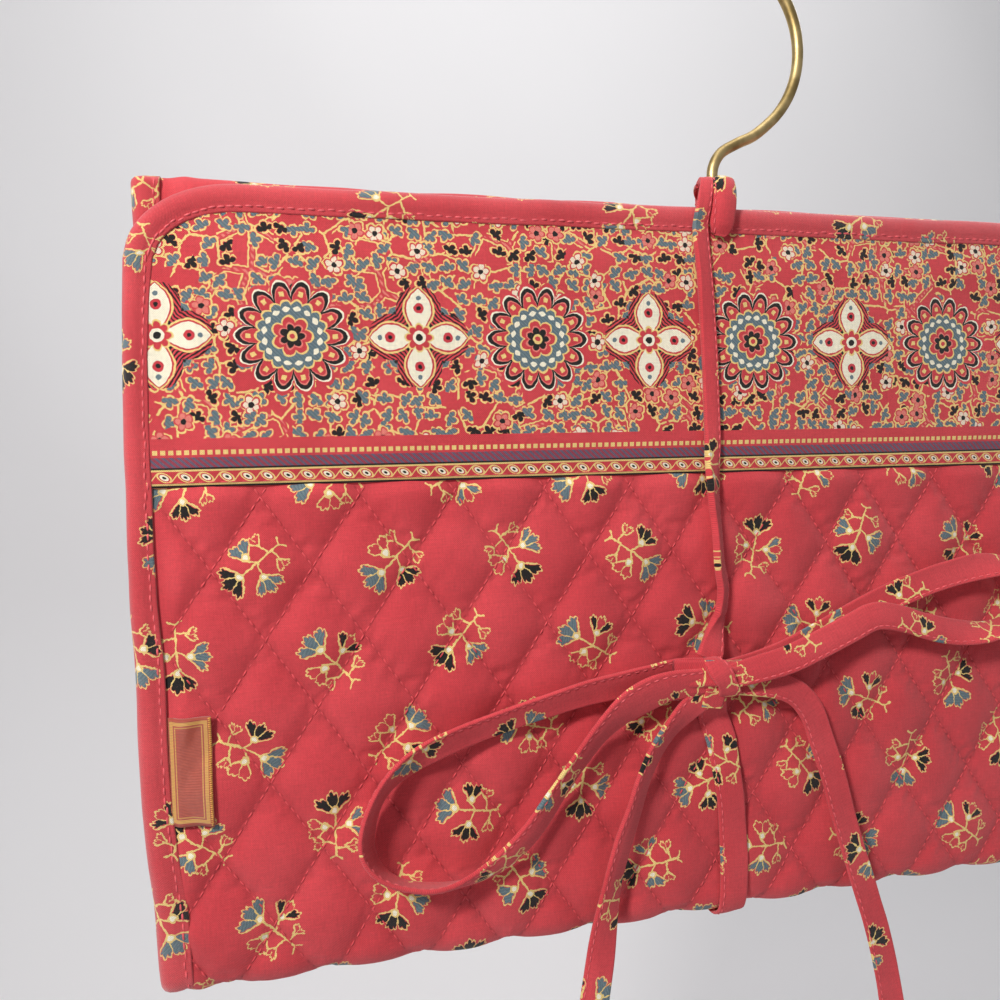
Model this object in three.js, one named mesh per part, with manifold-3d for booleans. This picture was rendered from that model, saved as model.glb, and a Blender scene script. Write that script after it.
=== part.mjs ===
// Hanging travel organizer: two quilted leaves joined by a folding spine, four clear zipped
// pockets inside, a brass wire hanger in the top casing and a cotton tie in a bow on the front.
// Millimetres. X across the organizer, Y from the front (-) to the back (+), Z up.
// The origin is the inside top of the hook, where it rests on a rail; the crossbar is at Y = 0.
import * as THREE from "three";
import { mergeVertices } from "three/addons/utils/BufferGeometryUtils.js";
import Module from "manifold-3d";

const wasm = await Module();
wasm.setup();

// ---------------------------------------------------------------- driving dimensions
const Z0 = -159.75; // level of the drawing's own zero, just below the border band
const HALF_W = 146.5; // half the folded width
const LAYER_W = 145.3; // half the width of the layers inside the edge binding
const BIND_W = 6.6; // visible width of the binding
const FLAP_TOP = Z0 + 84.8;
const BACK_TOP = Z0 + 90.7;
const BOTTOM = Z0 - 96; // underside of the fold
const LEAF_LOW = BOTTOM + 3.7; // lowest edge of both leaves
const BACK_Y = 4.2; // rear face of the back leaf
const FRONT_Y = -19; // front face of the flap
const CLOTH = 0.9; // quilted face cloth as made up
const CORNER_R = 13; // rounded corners of the flap's free edge
const BAND_LOW = Z0 + 19.0; // seam between the quilted field and the border band
const BAR_Z = Z0 + 86.5; // crossbar axis
const WIRE_R = 1.5; // hanger wire radius
const HOOK_R = 26.5; // hook centreline radius
const HOOK_Z = -(HOOK_R - WIRE_R); // hook centre, so that the inside top is at the origin
const BAR_R = 1.25; // crossbar radius
const BAR_HALF = 125; // half the crossbar length
const CASING_R = 4.2; // casing's outer radius over the crossbar
const STRAP_W = 7.6; // width of the cotton tie
const STRAP_T = 0.8; // thickness of the cotton tie
const STRAP_Y = -20.9; // middle of the strap where it lies on the flap
const BOW_Y = -25.4; // the bow's turning axis
const KNOT_X = -15.5;
const KNOT_Z = Z0 - 31;
const KNOT_R = 4.2;
const ZIP_HALF = 131; // half the zip tape length
const ZIP_H = 12.4; // height of the zip tape
const SLIDER_X = 119; // sliders at rest, at the closed end

// ---------------------------------------------------------------- materials
const mat = (color, roughness, metalness = 0, extra = {}) =>
  new THREE.MeshStandardMaterial({ color, roughness, metalness, ...extra });
const RED = () => mat(0xc23a48, 0.9);
const PRINT = () => mat(0xbe4a4e, 0.9);
const LINING = () => mat(0xb93543, 0.92);
const WADDING = () => mat(0xf0ece2, 1);
const BRASS = () => mat(0xa28a4c, 0.35, 1);
const VINYL = () => mat(0xe8eef0, 0.12, 0, { transparent: true, opacity: 0.35 });
const ZIP = () => mat(0x8f2531, 0.85);
const COIL = () => mat(0x7a1f2a, 0.5);

const group = new THREE.Group();

// A closed geometry whose faces point out, as a named mesh.
function add(name, geometry, material) {
  const g = cleaned(geometry);
  const m = new THREE.Mesh(g, material);
  m.name = name;
  group.add(m);
  return m;
}
function cleaned(geometry) {
  let g = geometry.clone();
  g.deleteAttribute("normal");
  g.deleteAttribute("uv");
  g = mergeVertices(g, 1e-4);
  const p = g.attributes.position,
    ix = g.index.array;
  let v = 0;
  const a = new THREE.Vector3(),
    b = new THREE.Vector3(),
    c = new THREE.Vector3();
  const keep = [];
  for (let i = 0; i < ix.length; i += 3) {
    if (ix[i] === ix[i + 1] || ix[i + 1] === ix[i + 2] || ix[i] === ix[i + 2])
      continue;
    keep.push(ix[i], ix[i + 1], ix[i + 2]);
    a.fromBufferAttribute(p, ix[i]);
    b.fromBufferAttribute(p, ix[i + 1]);
    c.fromBufferAttribute(p, ix[i + 2]);
    v += a.dot(b.cross(c)) / 6;
  }
  if (v < 0)
    for (let i = 0; i < keep.length; i += 3)
      [keep[i + 1], keep[i + 2]] = [keep[i + 2], keep[i + 1]];
  g.setIndex(keep);
  g.computeVertexNormals();
  return g;
}
function solid(geometry) {
  const g = cleaned(geometry);
  return new wasm.Manifold(
    new wasm.Mesh({
      numProp: 3,
      vertProperties: new Float32Array(g.attributes.position.array),
      triVerts: new Uint32Array(g.index.array),
    }),
  );
}
function geometryOf(s) {
  const m = s.getMesh(),
    n = m.numProp,
    v = new Float32Array(m.numVert * 3);
  for (let i = 0; i < m.numVert; i++)
    v.set(m.vertProperties.subarray(i * n, i * n + 3), i * 3);
  return new THREE.BufferGeometry()
    .setAttribute("position", new THREE.BufferAttribute(v, 3))
    .setIndex(new THREE.BufferAttribute(new Uint32Array(m.triVerts), 1));
}

// ---------------------------------------------------------------- shape helpers
function box(x0, x1, y0, y1, z0, z1) {
  return new THREE.BoxGeometry(x1 - x0, y1 - y0, z1 - z0).translate(
    (x0 + x1) / 2,
    (y0 + y1) / 2,
    (z0 + z1) / 2,
  );
}
// An outline drawn in X and Z, thick from y0 to y1.
function slab(points, y0, y1, holes = []) {
  const s = new THREE.Shape(points.map(([x, z]) => new THREE.Vector2(x, z)));
  for (const h of holes)
    s.holes.push(new THREE.Path(h.map(([x, z]) => new THREE.Vector2(x, z))));
  const g = new THREE.ExtrudeGeometry(s, { depth: y1 - y0, bevelEnabled: false });
  return g.rotateX(Math.PI / 2).translate(0, y1, 0);
}
// A profile drawn in Y and Z, running along X from x0 to x1.
const YZ = new THREE.Matrix4().makeBasis(
  new THREE.Vector3(0, 1, 0),
  new THREE.Vector3(0, 0, 1),
  new THREE.Vector3(1, 0, 0),
);
function run(points, x0, x1) {
  const s = new THREE.Shape(points.map(([y, z]) => new THREE.Vector2(y, z)));
  const g = new THREE.ExtrudeGeometry(s, { depth: x1 - x0, bevelEnabled: false });
  return g.applyMatrix4(YZ).translate(x0, 0, 0);
}
// A section swept along points: section corners are given along two unit vectors at each point.
function sweep(points, us, vs, section) {
  const n = section.length,
    pos = [],
    idx = [];
  points.forEach((p, i) => {
    for (const [a, b] of section)
      pos.push(
        p[0] + us[i][0] * a + vs[i][0] * b,
        p[1] + us[i][1] * a + vs[i][1] * b,
        p[2] + us[i][2] * a + vs[i][2] * b,
      );
  });
  for (let i = 0; i < points.length - 1; i++)
    for (let j = 0; j < n; j++) {
      const k = (j + 1) % n,
        A = i * n + j,
        B = i * n + k,
        C = (i + 1) * n + k,
        D = (i + 1) * n + j;
      idx.push(A, B, C, A, C, D);
    }
  const tris = THREE.ShapeUtils.triangulateShape(
    section.map(([a, b]) => new THREE.Vector2(a, b)),
    [],
  );
  const last = (points.length - 1) * n;
  for (const [a, b, c] of tris) {
    idx.push(a, c, b);
    idx.push(last + a, last + b, last + c);
  }
  return new THREE.BufferGeometry()
    .setAttribute("position", new THREE.BufferAttribute(new Float32Array(pos), 3))
    .setIndex(idx);
}
// Tangents of a polyline.
function tangents(points) {
  return points.map((p, i) => {
    const a = points[Math.max(0, i - 1)],
      b = points[Math.min(points.length - 1, i + 1)];
    const d = [b[0] - a[0], b[1] - a[1], b[2] - a[2]],
      l = Math.hypot(...d);
    return d.map((x) => x / l);
  });
}
const cross = (a, b) => [
  a[1] * b[2] - a[2] * b[1],
  a[2] * b[0] - a[0] * b[2],
  a[0] * b[1] - a[1] * b[0],
];
const unit = (a) => {
  const l = Math.hypot(...a);
  return a.map((x) => x / l);
};
// Points at even steps along a smooth curve through the given points.
function smooth(points, steps) {
  return new THREE.CatmullRomCurve3(
    points.map((p) => new THREE.Vector3(...p)),
    false,
    "centripetal",
  )
    .getSpacedPoints(steps)
    .map((v) => [v.x, v.y, v.z]);
}
// A flat cotton strap along points; its faces look along the given normal directions.
function strap(points, normals, width = STRAP_W, thick = STRAP_T) {
  const t = tangents(points);
  const us = t.map((d, i) =>
    unit(cross(Array.isArray(normals[0]) ? normals[i] : normals, d)),
  );
  const vs = us.map((u, i) => unit(cross(t[i], u)));
  const w = width / 2,
    h = thick / 2;
  return sweep(points, us, vs, [
    [-w, -h],
    [w, -h],
    [w, h],
    [-w, h],
  ]);
}

// ---------------------------------------------------------------- wire hanger
// Hook: up from the crossbar, a bend to the side, then round to an open end.
{
  const pts = [];
  for (let z = BAR_Z + 3.2; z < Z0 + 99; z += 3) pts.push([0, 0, z]);
  const bend = smooth(
    [
      [0, 0, Z0 + 99],
      [0.4, 0, Z0 + 102.2],
      [2.6, 0, Z0 + 105.6],
      [7.6, 0, Z0 + 108.6],
      [13.2, 0, Z0 + 111.0],
      [HOOK_R * Math.cos(-0.85), 0, HOOK_Z + HOOK_R * Math.sin(-0.85)],
    ],
    14,
  );
  pts.push(...bend);
  const a0 = -0.85,
    a1 = THREE.MathUtils.degToRad(148);
  for (let i = 1; i <= 36; i++) {
    const a = a0 + ((a1 - a0) * i) / 36;
    pts.push([HOOK_R * Math.cos(a), 0, HOOK_Z + HOOK_R * Math.sin(a)]);
  }
  const t = tangents(pts),
    us = t.map((d) => unit(cross([0, 1, 0], d))),
    vs = pts.map(() => [0, 1, 0]);
  const sec = [];
  for (let i = 0; i < 10; i++) {
    const a = ((i + 0.5) / 10) * Math.PI * 2;
    sec.push([WIRE_R * Math.cos(a), WIRE_R * Math.sin(a)]);
  }
  add("hanger_hook", sweep(pts, us, vs, sec), BRASS());
}
const rod = (r, x0, x1, y, z, n = 12) =>
  new THREE.CylinderGeometry(r, r, x1 - x0, n)
    .rotateZ(Math.PI / 2)
    .translate((x0 + x1) / 2, y, z);
add("hanger_crossbar", rod(BAR_R, -BAR_HALF, BAR_HALF, 0, BAR_Z), BRASS());
// The crimped collar that joins the hook to the crossbar: a short tube with a socket on top.
{
  const tube = (r, x0, x1) => solid(rod(r, x0, x1, 0, BAR_Z, 16));
  const up = new THREE.CylinderGeometry(2.6, 2.6, 4.2, 16)
    .rotateX(Math.PI / 2)
    .translate(0, 0, BAR_Z + 3.6);
  const bore = new THREE.CylinderGeometry(WIRE_R + 0.3, WIRE_R + 0.3, 4.2, 16)
    .rotateX(Math.PI / 2)
    .translate(0, 0, BAR_Z + 3.6 + 1.0);
  let s = tube(2.5, -5, 5).add(solid(up));
  s = s.subtract(tube(BAR_R + 0.3, -6, 6)).subtract(solid(bore));
  add("hanger_collar", geometryOf(s), BRASS());
}
// Vinyl tips on the crossbar's ends.
for (const [side, s] of [
  ["left", -1],
  ["right", 1],
]) {
  const outer = [
    [0, 131 - 128],
    [1.6, 130.4 - 128],
    [2.3, 129 - 128],
    [2.3, 119 - 128],
    [1.6, 119 - 128],
    [1.6, 125.4 - 128],
    [0, 125.4 - 128],
  ].map(([r, h]) => new THREE.Vector2(r, h));
  const g = new THREE.LatheGeometry(outer, 14)
    .rotateZ(-Math.PI / 2)
    .translate(128, 0, BAR_Z);
  if (s < 0) g.rotateZ(Math.PI);
  add("crossbar_tip_" + side, g, mat(0xf3efe6, 0.5));
}

// ---------------------------------------------------------------- back leaf
// Printed quilted cloth: the flat leaf, folded over at the top as a casing for the crossbar.
{
  const r = CASING_R,
    t = CLOTH;
  const outer = [],
    inner = [];
  for (let i = 0; i <= 8; i++) {
    const a = (i / 8) * Math.PI;
    outer.push([r * Math.cos(a), BAR_Z + r * Math.sin(a)]);
    inner.push([(r - t) * Math.cos(a), BAR_Z + (r - t) * Math.sin(a)]);
  }
  const profile = [
    [r, LEAF_LOW],
    ...outer,
    [-r, Z0 + 80],
    [-1.0, Z0 + 74.2],
    [-0.3, Z0 + 74.8],
    [-(r - t), Z0 + 80.5],
    ...inner.reverse(),
    [r - t, LEAF_LOW],
  ];
  let s = solid(run(profile, -138.2, 138.2)).add(
    solid(box(-LAYER_W + 0.6, LAYER_W - 0.6, r - t, r, LEAF_LOW, Z0 + 73)),
  );
  // The slot that the hook comes out of.
  s = s.subtract(solid(box(-4, 4, -3.0, 3.0, BAR_Z + 1.5, BACK_TOP + 2)));
  add("back_cover", geometryOf(s), RED());
}
add(
  "back_wadding",
  box(-LAYER_W + 1, LAYER_W - 1, 1.8, 3.0, LEAF_LOW + 0.3, Z0 + 72.6),
  WADDING(),
);
add(
  "back_lining",
  box(-LAYER_W + 0.6, LAYER_W - 0.6, 0.7, 1.5, LEAF_LOW, Z0 + 73.6),
  LINING(),
);

// The channel section of the edge binding: outwards along u, across the layers along y.
function bindingSection(yIn, yOut, t = 0.7) {
  // u = 0 at the very edge, negative inwards
  return [
    [-BIND_W, yIn],
    [0, yIn],
    [0, yOut],
    [-BIND_W, yOut],
    [-BIND_W, yOut - t],
    [-t, yOut - t],
    [-t, yIn + t],
    [-BIND_W, yIn + t],
  ];
}
function bindingAlong(points, outward, yIn, yOut) {
  const us = outward.map(([x, z]) => [x, 0, z]),
    vs = points.map(() => [0, 1, 0]);
  return sweep(points, us, vs, bindingSection(yIn, yOut));
}
for (const [side, s] of [
  ["left", -1],
  ["right", 1],
])
  add(
    "back_binding_" + side,
    bindingAlong(
      [
        [s * HALF_W, 0, LEAF_LOW],
        [s * HALF_W, 0, BACK_TOP - 0.4],
      ],
      [
        [s, 0],
        [s, 0],
      ],
      -1.9,
      5.2,
    ),
    RED(),
  );

// ---------------------------------------------------------------- folding spine
{
  const sec = (z0, z1, y0, y1, x) => box(-x, x, y0, y1, z0, z1);
  add(
    "spine_cover",
    sec(BOTTOM, BOTTOM + CLOTH, FRONT_Y, BACK_Y, LAYER_W - 0.6),
    RED(),
  );
  add(
    "spine_wadding",
    sec(BOTTOM + 1.2, BOTTOM + 2.3, FRONT_Y + 2, BACK_Y - 2, LAYER_W - 1),
    WADDING(),
  );
  add(
    "spine_lining",
    sec(BOTTOM + 2.6, BOTTOM + 3.3, FRONT_Y + 2, BACK_Y - 2, LAYER_W - 0.6),
    LINING(),
  );
  for (const [side, s] of [
    ["left", -1],
    ["right", 1],
  ]) {
    // section along X (outwards) and Z, swept along Y
    const za = BOTTOM - 1.0,
      zb = BOTTOM + 3.35 + 0.0;
    const u = [s, 0, 0];
    const pts = [
      [s * HALF_W, FRONT_Y + 1.6, 0],
      [s * HALF_W, BACK_Y - 1.6, 0],
    ];
    const t = 0.6;
    const secn = [
      [-BIND_W, za],
      [0, za],
      [0, zb],
      [-0.9, zb],
      [-0.9, za + t],
      [-BIND_W, za + t],
    ];
    add(
      "spine_binding_" + side,
      sweep(pts, [u, u], [
        [0, 0, 1],
        [0, 0, 1],
      ], secn),
      RED(),
    );
  }
}

// ---------------------------------------------------------------- front flap
// Outline of the flap's free end with its two rounded corners.
function flapOutline(half, top, low, r) {
  const p = [
    [-half, low],
    [half, low],
  ];
  for (let i = 0; i <= 6; i++) {
    const a = (i / 6) * (Math.PI / 2);
    p.push([half - r + r * Math.cos(a), top - r + r * Math.sin(a)]);
  }
  for (let i = 0; i <= 6; i++) {
    const a = Math.PI / 2 + (i / 6) * (Math.PI / 2);
    p.push([-half + r + r * Math.cos(a), top - r + r * Math.sin(a)]);
  }
  return p;
}
const inset = HALF_W - LAYER_W + 0.3;
add(
  "flap_cover",
  box(
    -LAYER_W + 0.6,
    LAYER_W - 0.6,
    FRONT_Y,
    FRONT_Y + CLOTH,
    LEAF_LOW,
    BAND_LOW - 0.3,
  ),
  RED(),
);
add(
  "flap_border_band",
  slab(
    flapOutline(LAYER_W - 0.6, FLAP_TOP - inset, BAND_LOW, CORNER_R - inset),
    FRONT_Y,
    FRONT_Y + CLOTH,
  ),
  PRINT(),
);
add(
  "flap_wadding",
  box(
    -LAYER_W + 1,
    LAYER_W - 1,
    FRONT_Y + 1.2,
    FRONT_Y + 2.4,
    LEAF_LOW + 0.3,
    BAND_LOW + 44,
  ),
  WADDING(),
);
add(
  "flap_lining",
  slab(
    flapOutline(LAYER_W - 0.6, FLAP_TOP - inset, LEAF_LOW, CORNER_R - inset),
    FRONT_Y + 2.7,
    FRONT_Y + 3.5,
  ),
  LINING(),
);
{
  const pts = [],
    out = [];
  const push = (x, z, ox, oz) => {
    pts.push([x, 0, z]);
    out.push([ox, oz]);
  };
  push(-HALF_W, LEAF_LOW, -1, 0);
  for (let i = 0; i <= 7; i++) {
    const a = Math.PI - (i / 7) * (Math.PI / 2);
    push(
      -HALF_W + CORNER_R + CORNER_R * Math.cos(a),
      FLAP_TOP - CORNER_R + CORNER_R * Math.sin(a),
      Math.cos(a),
      Math.sin(a),
    );
  }
  for (let i = 0; i <= 7; i++) {
    const a = Math.PI / 2 - (i / 7) * (Math.PI / 2);
    push(
      HALF_W - CORNER_R + CORNER_R * Math.cos(a),
      FLAP_TOP - CORNER_R + CORNER_R * Math.sin(a),
      Math.cos(a),
      Math.sin(a),
    );
  }
  push(HALF_W, LEAF_LOW, 1, 0);
  add("flap_binding", bindingAlong(pts, out, FRONT_Y - 1.1, FRONT_Y + 5.4), RED());
}
add(
  "woven_label",
  box(-HALF_W + BIND_W + 0.3, -132.2, FRONT_Y - 1.2, FRONT_Y - 0.4, Z0 - 55.4, Z0 - 31),
  mat(0x8d3b33, 0.85),
);

// ---------------------------------------------------------------- pockets
// Each pocket: a clear vinyl window sewn in at its edges, closed by a zip along one side.
// d is the direction away from the leaf's lining (-1 on the back leaf, +1 on the flap).
const pocketX = HALF_W - 1.8;
function pocket(name, lining, d, z0, z1, zipAt) {
  const y = (a, b) => {
    const p = lining + d * a,
      q = lining + d * b;
    return [Math.min(p, q), Math.max(p, q)];
  };
  const X = LAYER_W - 1;
  const zipLow = zipAt === "top" ? z1 - ZIP_H : z0,
    zipHigh = zipLow + ZIP_H;
  const mid = (zipLow + zipHigh) / 2;
  const winLow = zipAt === "top" ? z0 : zipHigh + 0.3,
    winHigh = zipAt === "top" ? zipLow - 0.3 : z1;
  const [w0, w1] = y(0.3, 0.75);
  add(name + "_window", box(-X, X, w0, w1, winLow, winHigh), VINYL());
  const [t0, t1] = y(0.3, 0.95);
  add(name + "_zip_tape", box(-X, X, t0, t1, zipLow, zipHigh), ZIP());
  // coil: a low rounded ridge along the middle of the tape
  const c = (a) => lining + d * a;
  add(
    name + "_zip_coil",
    run(
      [
        [c(1.25), mid - 1.7],
        [c(1.25), mid + 1.7],
        [c(2.05), mid + 1.7],
        [c(2.55), mid + 0.9],
        [c(2.55), mid - 0.9],
        [c(2.05), mid - 1.7],
      ],
      -ZIP_HALF,
      ZIP_HALF,
    ),
    COIL(),
  );
  // slider: a channel over the coil with a round post and head that carry the pull
  const channel = run(
    [
      [c(1.3), mid - 2.9],
      [c(3.75), mid - 2.9],
      [c(3.75), mid + 2.9],
      [c(1.3), mid + 2.9],
      [c(1.3), mid + 2.1],
      [c(2.95), mid + 2.1],
      [c(2.95), mid - 2.1],
      [c(1.3), mid - 2.1],
    ],
    SLIDER_X - 4.5,
    SLIDER_X + 4.5,
  );
  const disc = (r, a, b, n = 14) => {
    const [p, q] = y(a, b);
    return solid(
      new THREE.CylinderGeometry(r, r, q - p, n).translate(
        SLIDER_X,
        (p + q) / 2,
        mid,
      ),
    );
  };
  const sl = solid(channel).add(disc(0.9, 3.5, 5.6)).add(disc(1.9, 5.4, 6.0));
  add(name + "_zip_slider", geometryOf(sl), BRASS());
  // pull: a flat drop hanging from the post
  const hole = [];
  for (let i = 0; i < 12; i++) {
    const a = (-i / 12) * Math.PI * 2;
    hole.push([SLIDER_X + 1.25 * Math.cos(a), mid + 1.25 * Math.sin(a)]);
  }
  const out = [];
  for (let i = 0; i <= 8; i++) {
    const a = (i / 8) * Math.PI;
    out.push([SLIDER_X + 2.5 * Math.cos(a), mid + 2.5 * Math.sin(a)]);
  }
  out.push([SLIDER_X - 1.7, mid - 6]);
  for (let i = 0; i <= 8; i++) {
    const a = Math.PI + (i / 8) * Math.PI;
    out.push([SLIDER_X + 2.9 * Math.cos(a), mid - 14.5 + 2.9 * Math.sin(a)]);
  }
  out.push([SLIDER_X + 1.7, mid - 6]);
  const [p0, p1] = y(4.1, 5.05);
  add(name + "_zip_pull", slab(out, p0, p1, [hole]), BRASS());
  return mid;
}
const BACK_LINING = 0.7,
  FLAP_LINING = FRONT_Y + 3.5;
const zips = {
  back_upper_pocket: pocket("back_upper_pocket", BACK_LINING, -1, Z0 - 4.5, Z0 + 72, "top"),
  back_lower_pocket: pocket("back_lower_pocket", BACK_LINING, -1, LEAF_LOW + 0.4, Z0 - 11.5, "top"),
  flap_lower_pocket: pocket("flap_lower_pocket", FLAP_LINING, 1, Z0 - 76, Z0 + 0, "bottom"),
  flap_upper_pocket: pocket("flap_upper_pocket", FLAP_LINING, 1, Z0 + 7, Z0 + 77.2, "bottom"),
};
// Cloth strips that cover the seams between the pockets.
add(
  "back_pocket_strip",
  box(-LAYER_W + 1, LAYER_W - 1, BACK_LINING - 1.2, BACK_LINING - 0.3, Z0 - 11.2, Z0 - 4.8),
  RED(),
);
add(
  "flap_pocket_strip",
  box(-LAYER_W + 1, LAYER_W - 1, FLAP_LINING + 0.3, FLAP_LINING + 1.2, Z0 + 0.3, Z0 + 6.7),
  RED(),
);

// ---------------------------------------------------------------- cotton tie
const NORMAL = [0, -1, 0];
// Wrap: from behind the hook's stem round both sides of it and forward over the flap's top edge.
{
  const z = (a) => Z0 + a;
  const pts = smooth(
    [
      [-10.6, -17.6, z(90.4)],
      [-9.6, -13.0, z(92.2)],
      [-6.4, -7.0, z(93.6)],
      [-3.8, -2.0, z(94.4)],
      [-2.6, 2.6, z(94.6)],
      [0.6, 4.6, z(94.6)],
      [3.6, 2.6, z(94.4)],
      [3.6, -3.0, z(94.0)],
      [2.0, -9.0, z(93.2)],
      [-0.6, -14.0, z(92.0)],
      [-2.4, -17.6, z(90.4)],
    ],
    34,
  );
  // the strap stands on edge round the stem
  const t = tangents(pts);
  const normals = t.map((d) => unit(cross([0, 0, 1], d)));
  add("tie_wrap", strap(pts, normals, 5.2, 0.8), RED());
}
add(
  "tie_strap_upper",
  strap(
    smooth(
      [
        [-14.3, STRAP_Y, Z0 + 86.5],
        [-14.5, STRAP_Y, Z0 + 71],
        [-12.7, STRAP_Y, Z0 + 49],
        [-11.9, STRAP_Y, Z0 + 27],
        [-11.8, STRAP_Y, Z0 + 4],
        [-11.8, STRAP_Y, Z0 - 13],
        [-13.6, STRAP_Y, KNOT_Z + KNOT_R + 0.5],
      ],
      16,
    ),
    NORMAL,
  ),
  RED(),
);
add(
  "tie_strap_lower",
  strap(
    smooth(
      [
        [-13.6, STRAP_Y, KNOT_Z - KNOT_R - 0.5],
        [-11.0, STRAP_Y, Z0 - 46],
        [-8.6, STRAP_Y, Z0 - 62],
        [-7.6, STRAP_Y, Z0 - 76],
        [-7.4, STRAP_Y, LEAF_LOW],
      ],
      10,
    ),
    NORMAL,
  ),
  RED(),
);
add(
  "tie_strap_under",
  box(-7.4 - STRAP_W / 2, -7.4 + STRAP_W / 2, FRONT_Y + 1.2, BACK_Y - 1.4, BOTTOM - 1.5, BOTTOM - 0.7),
  RED(),
);
// Knot: a short rounded roll along X, so that the bow can turn about its own axis.
{
  const prof = [[0, -7.4]];
  for (let i = 0; i <= 4; i++) {
    const a = (i / 4) * (Math.PI / 2);
    prof.push([KNOT_R - 2 + 2 * Math.sin(a), -5.4 - 2 * Math.cos(a)]);
  }
  for (let i = 0; i <= 4; i++) {
    const a = (i / 4) * (Math.PI / 2);
    prof.push([KNOT_R - 2 + 2 * Math.cos(a), 5.4 + 2 * Math.sin(a)]);
  }
  prof.push([0, 7.4]);
  const g = new THREE.LatheGeometry(
    prof.map(([r, h]) => new THREE.Vector2(r, h)),
    16,
  )
    .rotateZ(-Math.PI / 2)
    .translate(KNOT_X, BOW_Y, KNOT_Z);
  add("tie_knot", g, RED());
}
// Bow loops and tails: flat strap, each a free length out of the knot.
{
  const P = (x, y, z) => [x, BOW_Y + y, Z0 + z];
  const leftLoop = smooth(
    [
      P(-23.4, 0.5, -28.9),
      P(-30, 0.7, -29.2),
      P(-42, 0.8, -30.6),
      P(-54, 0.8, -32.1),
      P(-66, 0.8, -35.0),
      P(-78, 0.7, -39.0),
      P(-87.2, 0.5, -44.2),
      P(-94.0, 0.2, -50.6),
      P(-97.8, 0, -57.6),
      P(-98.4, -0.1, -64.0),
      P(-95.4, -0.2, -69.6),
      P(-89.6, -0.4, -73.0),
      P(-81.2, -0.6, -73.6),
      P(-71.7, -0.8, -70.8),
      P(-62.0, -0.9, -64.6),
      P(-54.5, -0.9, -57.1),
      P(-46.8, -0.9, -48.4),
      P(-39.0, -0.9, -40.0),
      P(-31.0, -0.9, -34.6),
      P(-23.4, -0.9, -32.4),
    ],
    56,
  );
  add("bow_loop_left", strap(leftLoop, NORMAL), RED());
  const rightLoop = smooth(
    [
      P(-5.6, 0.5, -30.8),
      P(3.7, 0.8, -27.6),
      P(16, 0.9, -23.9),
      P(28, 0.9, -20.2),
      P(41, 0.9, -15.2),
      P(53, 0.8, -10.4),
      P(64, 0.5, -7.6),
      P(73, 0.2, -8.2),
      P(78.6, 0, -12.2),
      P(79.2, -0.2, -18.0),
      P(74.6, -0.4, -23.2),
      P(66, -0.6, -26.2),
      P(56, -0.8, -26.6),
      P(46, -0.9, -24.2),
      P(37, -0.9, -21.2),
      P(28, -0.9, -20.8),
      P(15, -0.9, -25.0),
      P(3.7, -0.9, -28.6),
      P(-5.6, -0.9, -31.8),
    ],
    50,
  );
  add("bow_loop_right", strap(rightLoop, NORMAL), RED());
  const leftTail = smooth(
    [
      P(-20.8, 2.0, -40.6),
      P(-26.2, 2.0, -44.2),
      P(-31.4, 1.9, -50.4),
      P(-34.8, 1.7, -58.4),
      P(-37.2, 1.3, -67.2),
      P(-39.4, 0.9, -76.8),
      P(-41.7, 0.4, -88.1),
      P(-44.3, 0, -100.0),
      P(-46.6, 0, -112.0),
      P(-48.4, 0, -126.0),
      P(-49.2, 0, -139.0),
      P(-49.4, 0, -150.0),
    ],
    34,
  );
  add("tie_tail_left", strap(leftTail, NORMAL), RED());
  const rightTail = smooth(
    [
      P(-6.0, 2.0, -41.2),
      P(0.6, 2.0, -42.4),
      P(7.4, 2.0, -46.2),
      P(12.6, 1.9, -52.6),
      P(16.8, 1.6, -62.0),
      P(20.0, 1.2, -73.8),
      P(23.3, 0.7, -85.8),
      P(26.8, 0.2, -97.0),
      P(30.4, 0, -108.0),
      P(33.6, 0, -120.0),
      P(35.8, 0, -133.0),
      P(36.8, 0, -144.0),
    ],
    34,
  );
  add("tie_tail_right", strap(rightTail, NORMAL), RED());
}

export { zips };
export default group;
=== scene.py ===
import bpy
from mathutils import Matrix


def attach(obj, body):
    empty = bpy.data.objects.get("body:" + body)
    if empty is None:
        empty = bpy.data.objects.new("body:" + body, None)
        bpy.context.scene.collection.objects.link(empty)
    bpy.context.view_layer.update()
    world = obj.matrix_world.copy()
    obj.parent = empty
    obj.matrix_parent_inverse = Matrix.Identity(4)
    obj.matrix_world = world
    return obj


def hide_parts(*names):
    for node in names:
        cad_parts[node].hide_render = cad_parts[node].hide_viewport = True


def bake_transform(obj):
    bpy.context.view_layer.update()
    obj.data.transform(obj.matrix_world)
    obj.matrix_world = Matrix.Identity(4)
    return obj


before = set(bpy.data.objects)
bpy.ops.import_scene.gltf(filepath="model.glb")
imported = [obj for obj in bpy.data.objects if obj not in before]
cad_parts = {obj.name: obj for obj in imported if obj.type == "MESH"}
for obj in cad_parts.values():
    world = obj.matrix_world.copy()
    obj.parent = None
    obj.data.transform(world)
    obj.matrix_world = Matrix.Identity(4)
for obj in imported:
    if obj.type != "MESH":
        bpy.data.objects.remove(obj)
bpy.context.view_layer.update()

import math

import bpy
import numpy as np
from mathutils import Matrix, Vector

# Lengths below are millimetres in the row's frame; v is the height on the unfolded cloth,
# counted from the drawing's own zero just below the border band.
MM = 0.001
Z0 = -159.75
BAR_Z = Z0 + 86.5
FOLD_R = 5.0
V_ARC = -88.9  # the leaves' cloth begins to turn round the bottom fold here
MID_Y = -7.4
rng = np.random.default_rng(7)
scene = bpy.context.scene


# ================================================================ small tools
def smoothstep(a, b, x):
    t = np.clip((np.asarray(x, float) - a) / (b - a), 0, 1)
    return t * t * (3 - 2 * t)


def unit(a):
    a = np.asarray(a, float)
    return a / np.maximum(np.linalg.norm(a, axis=-1, keepdims=True), 1e-9)


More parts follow.
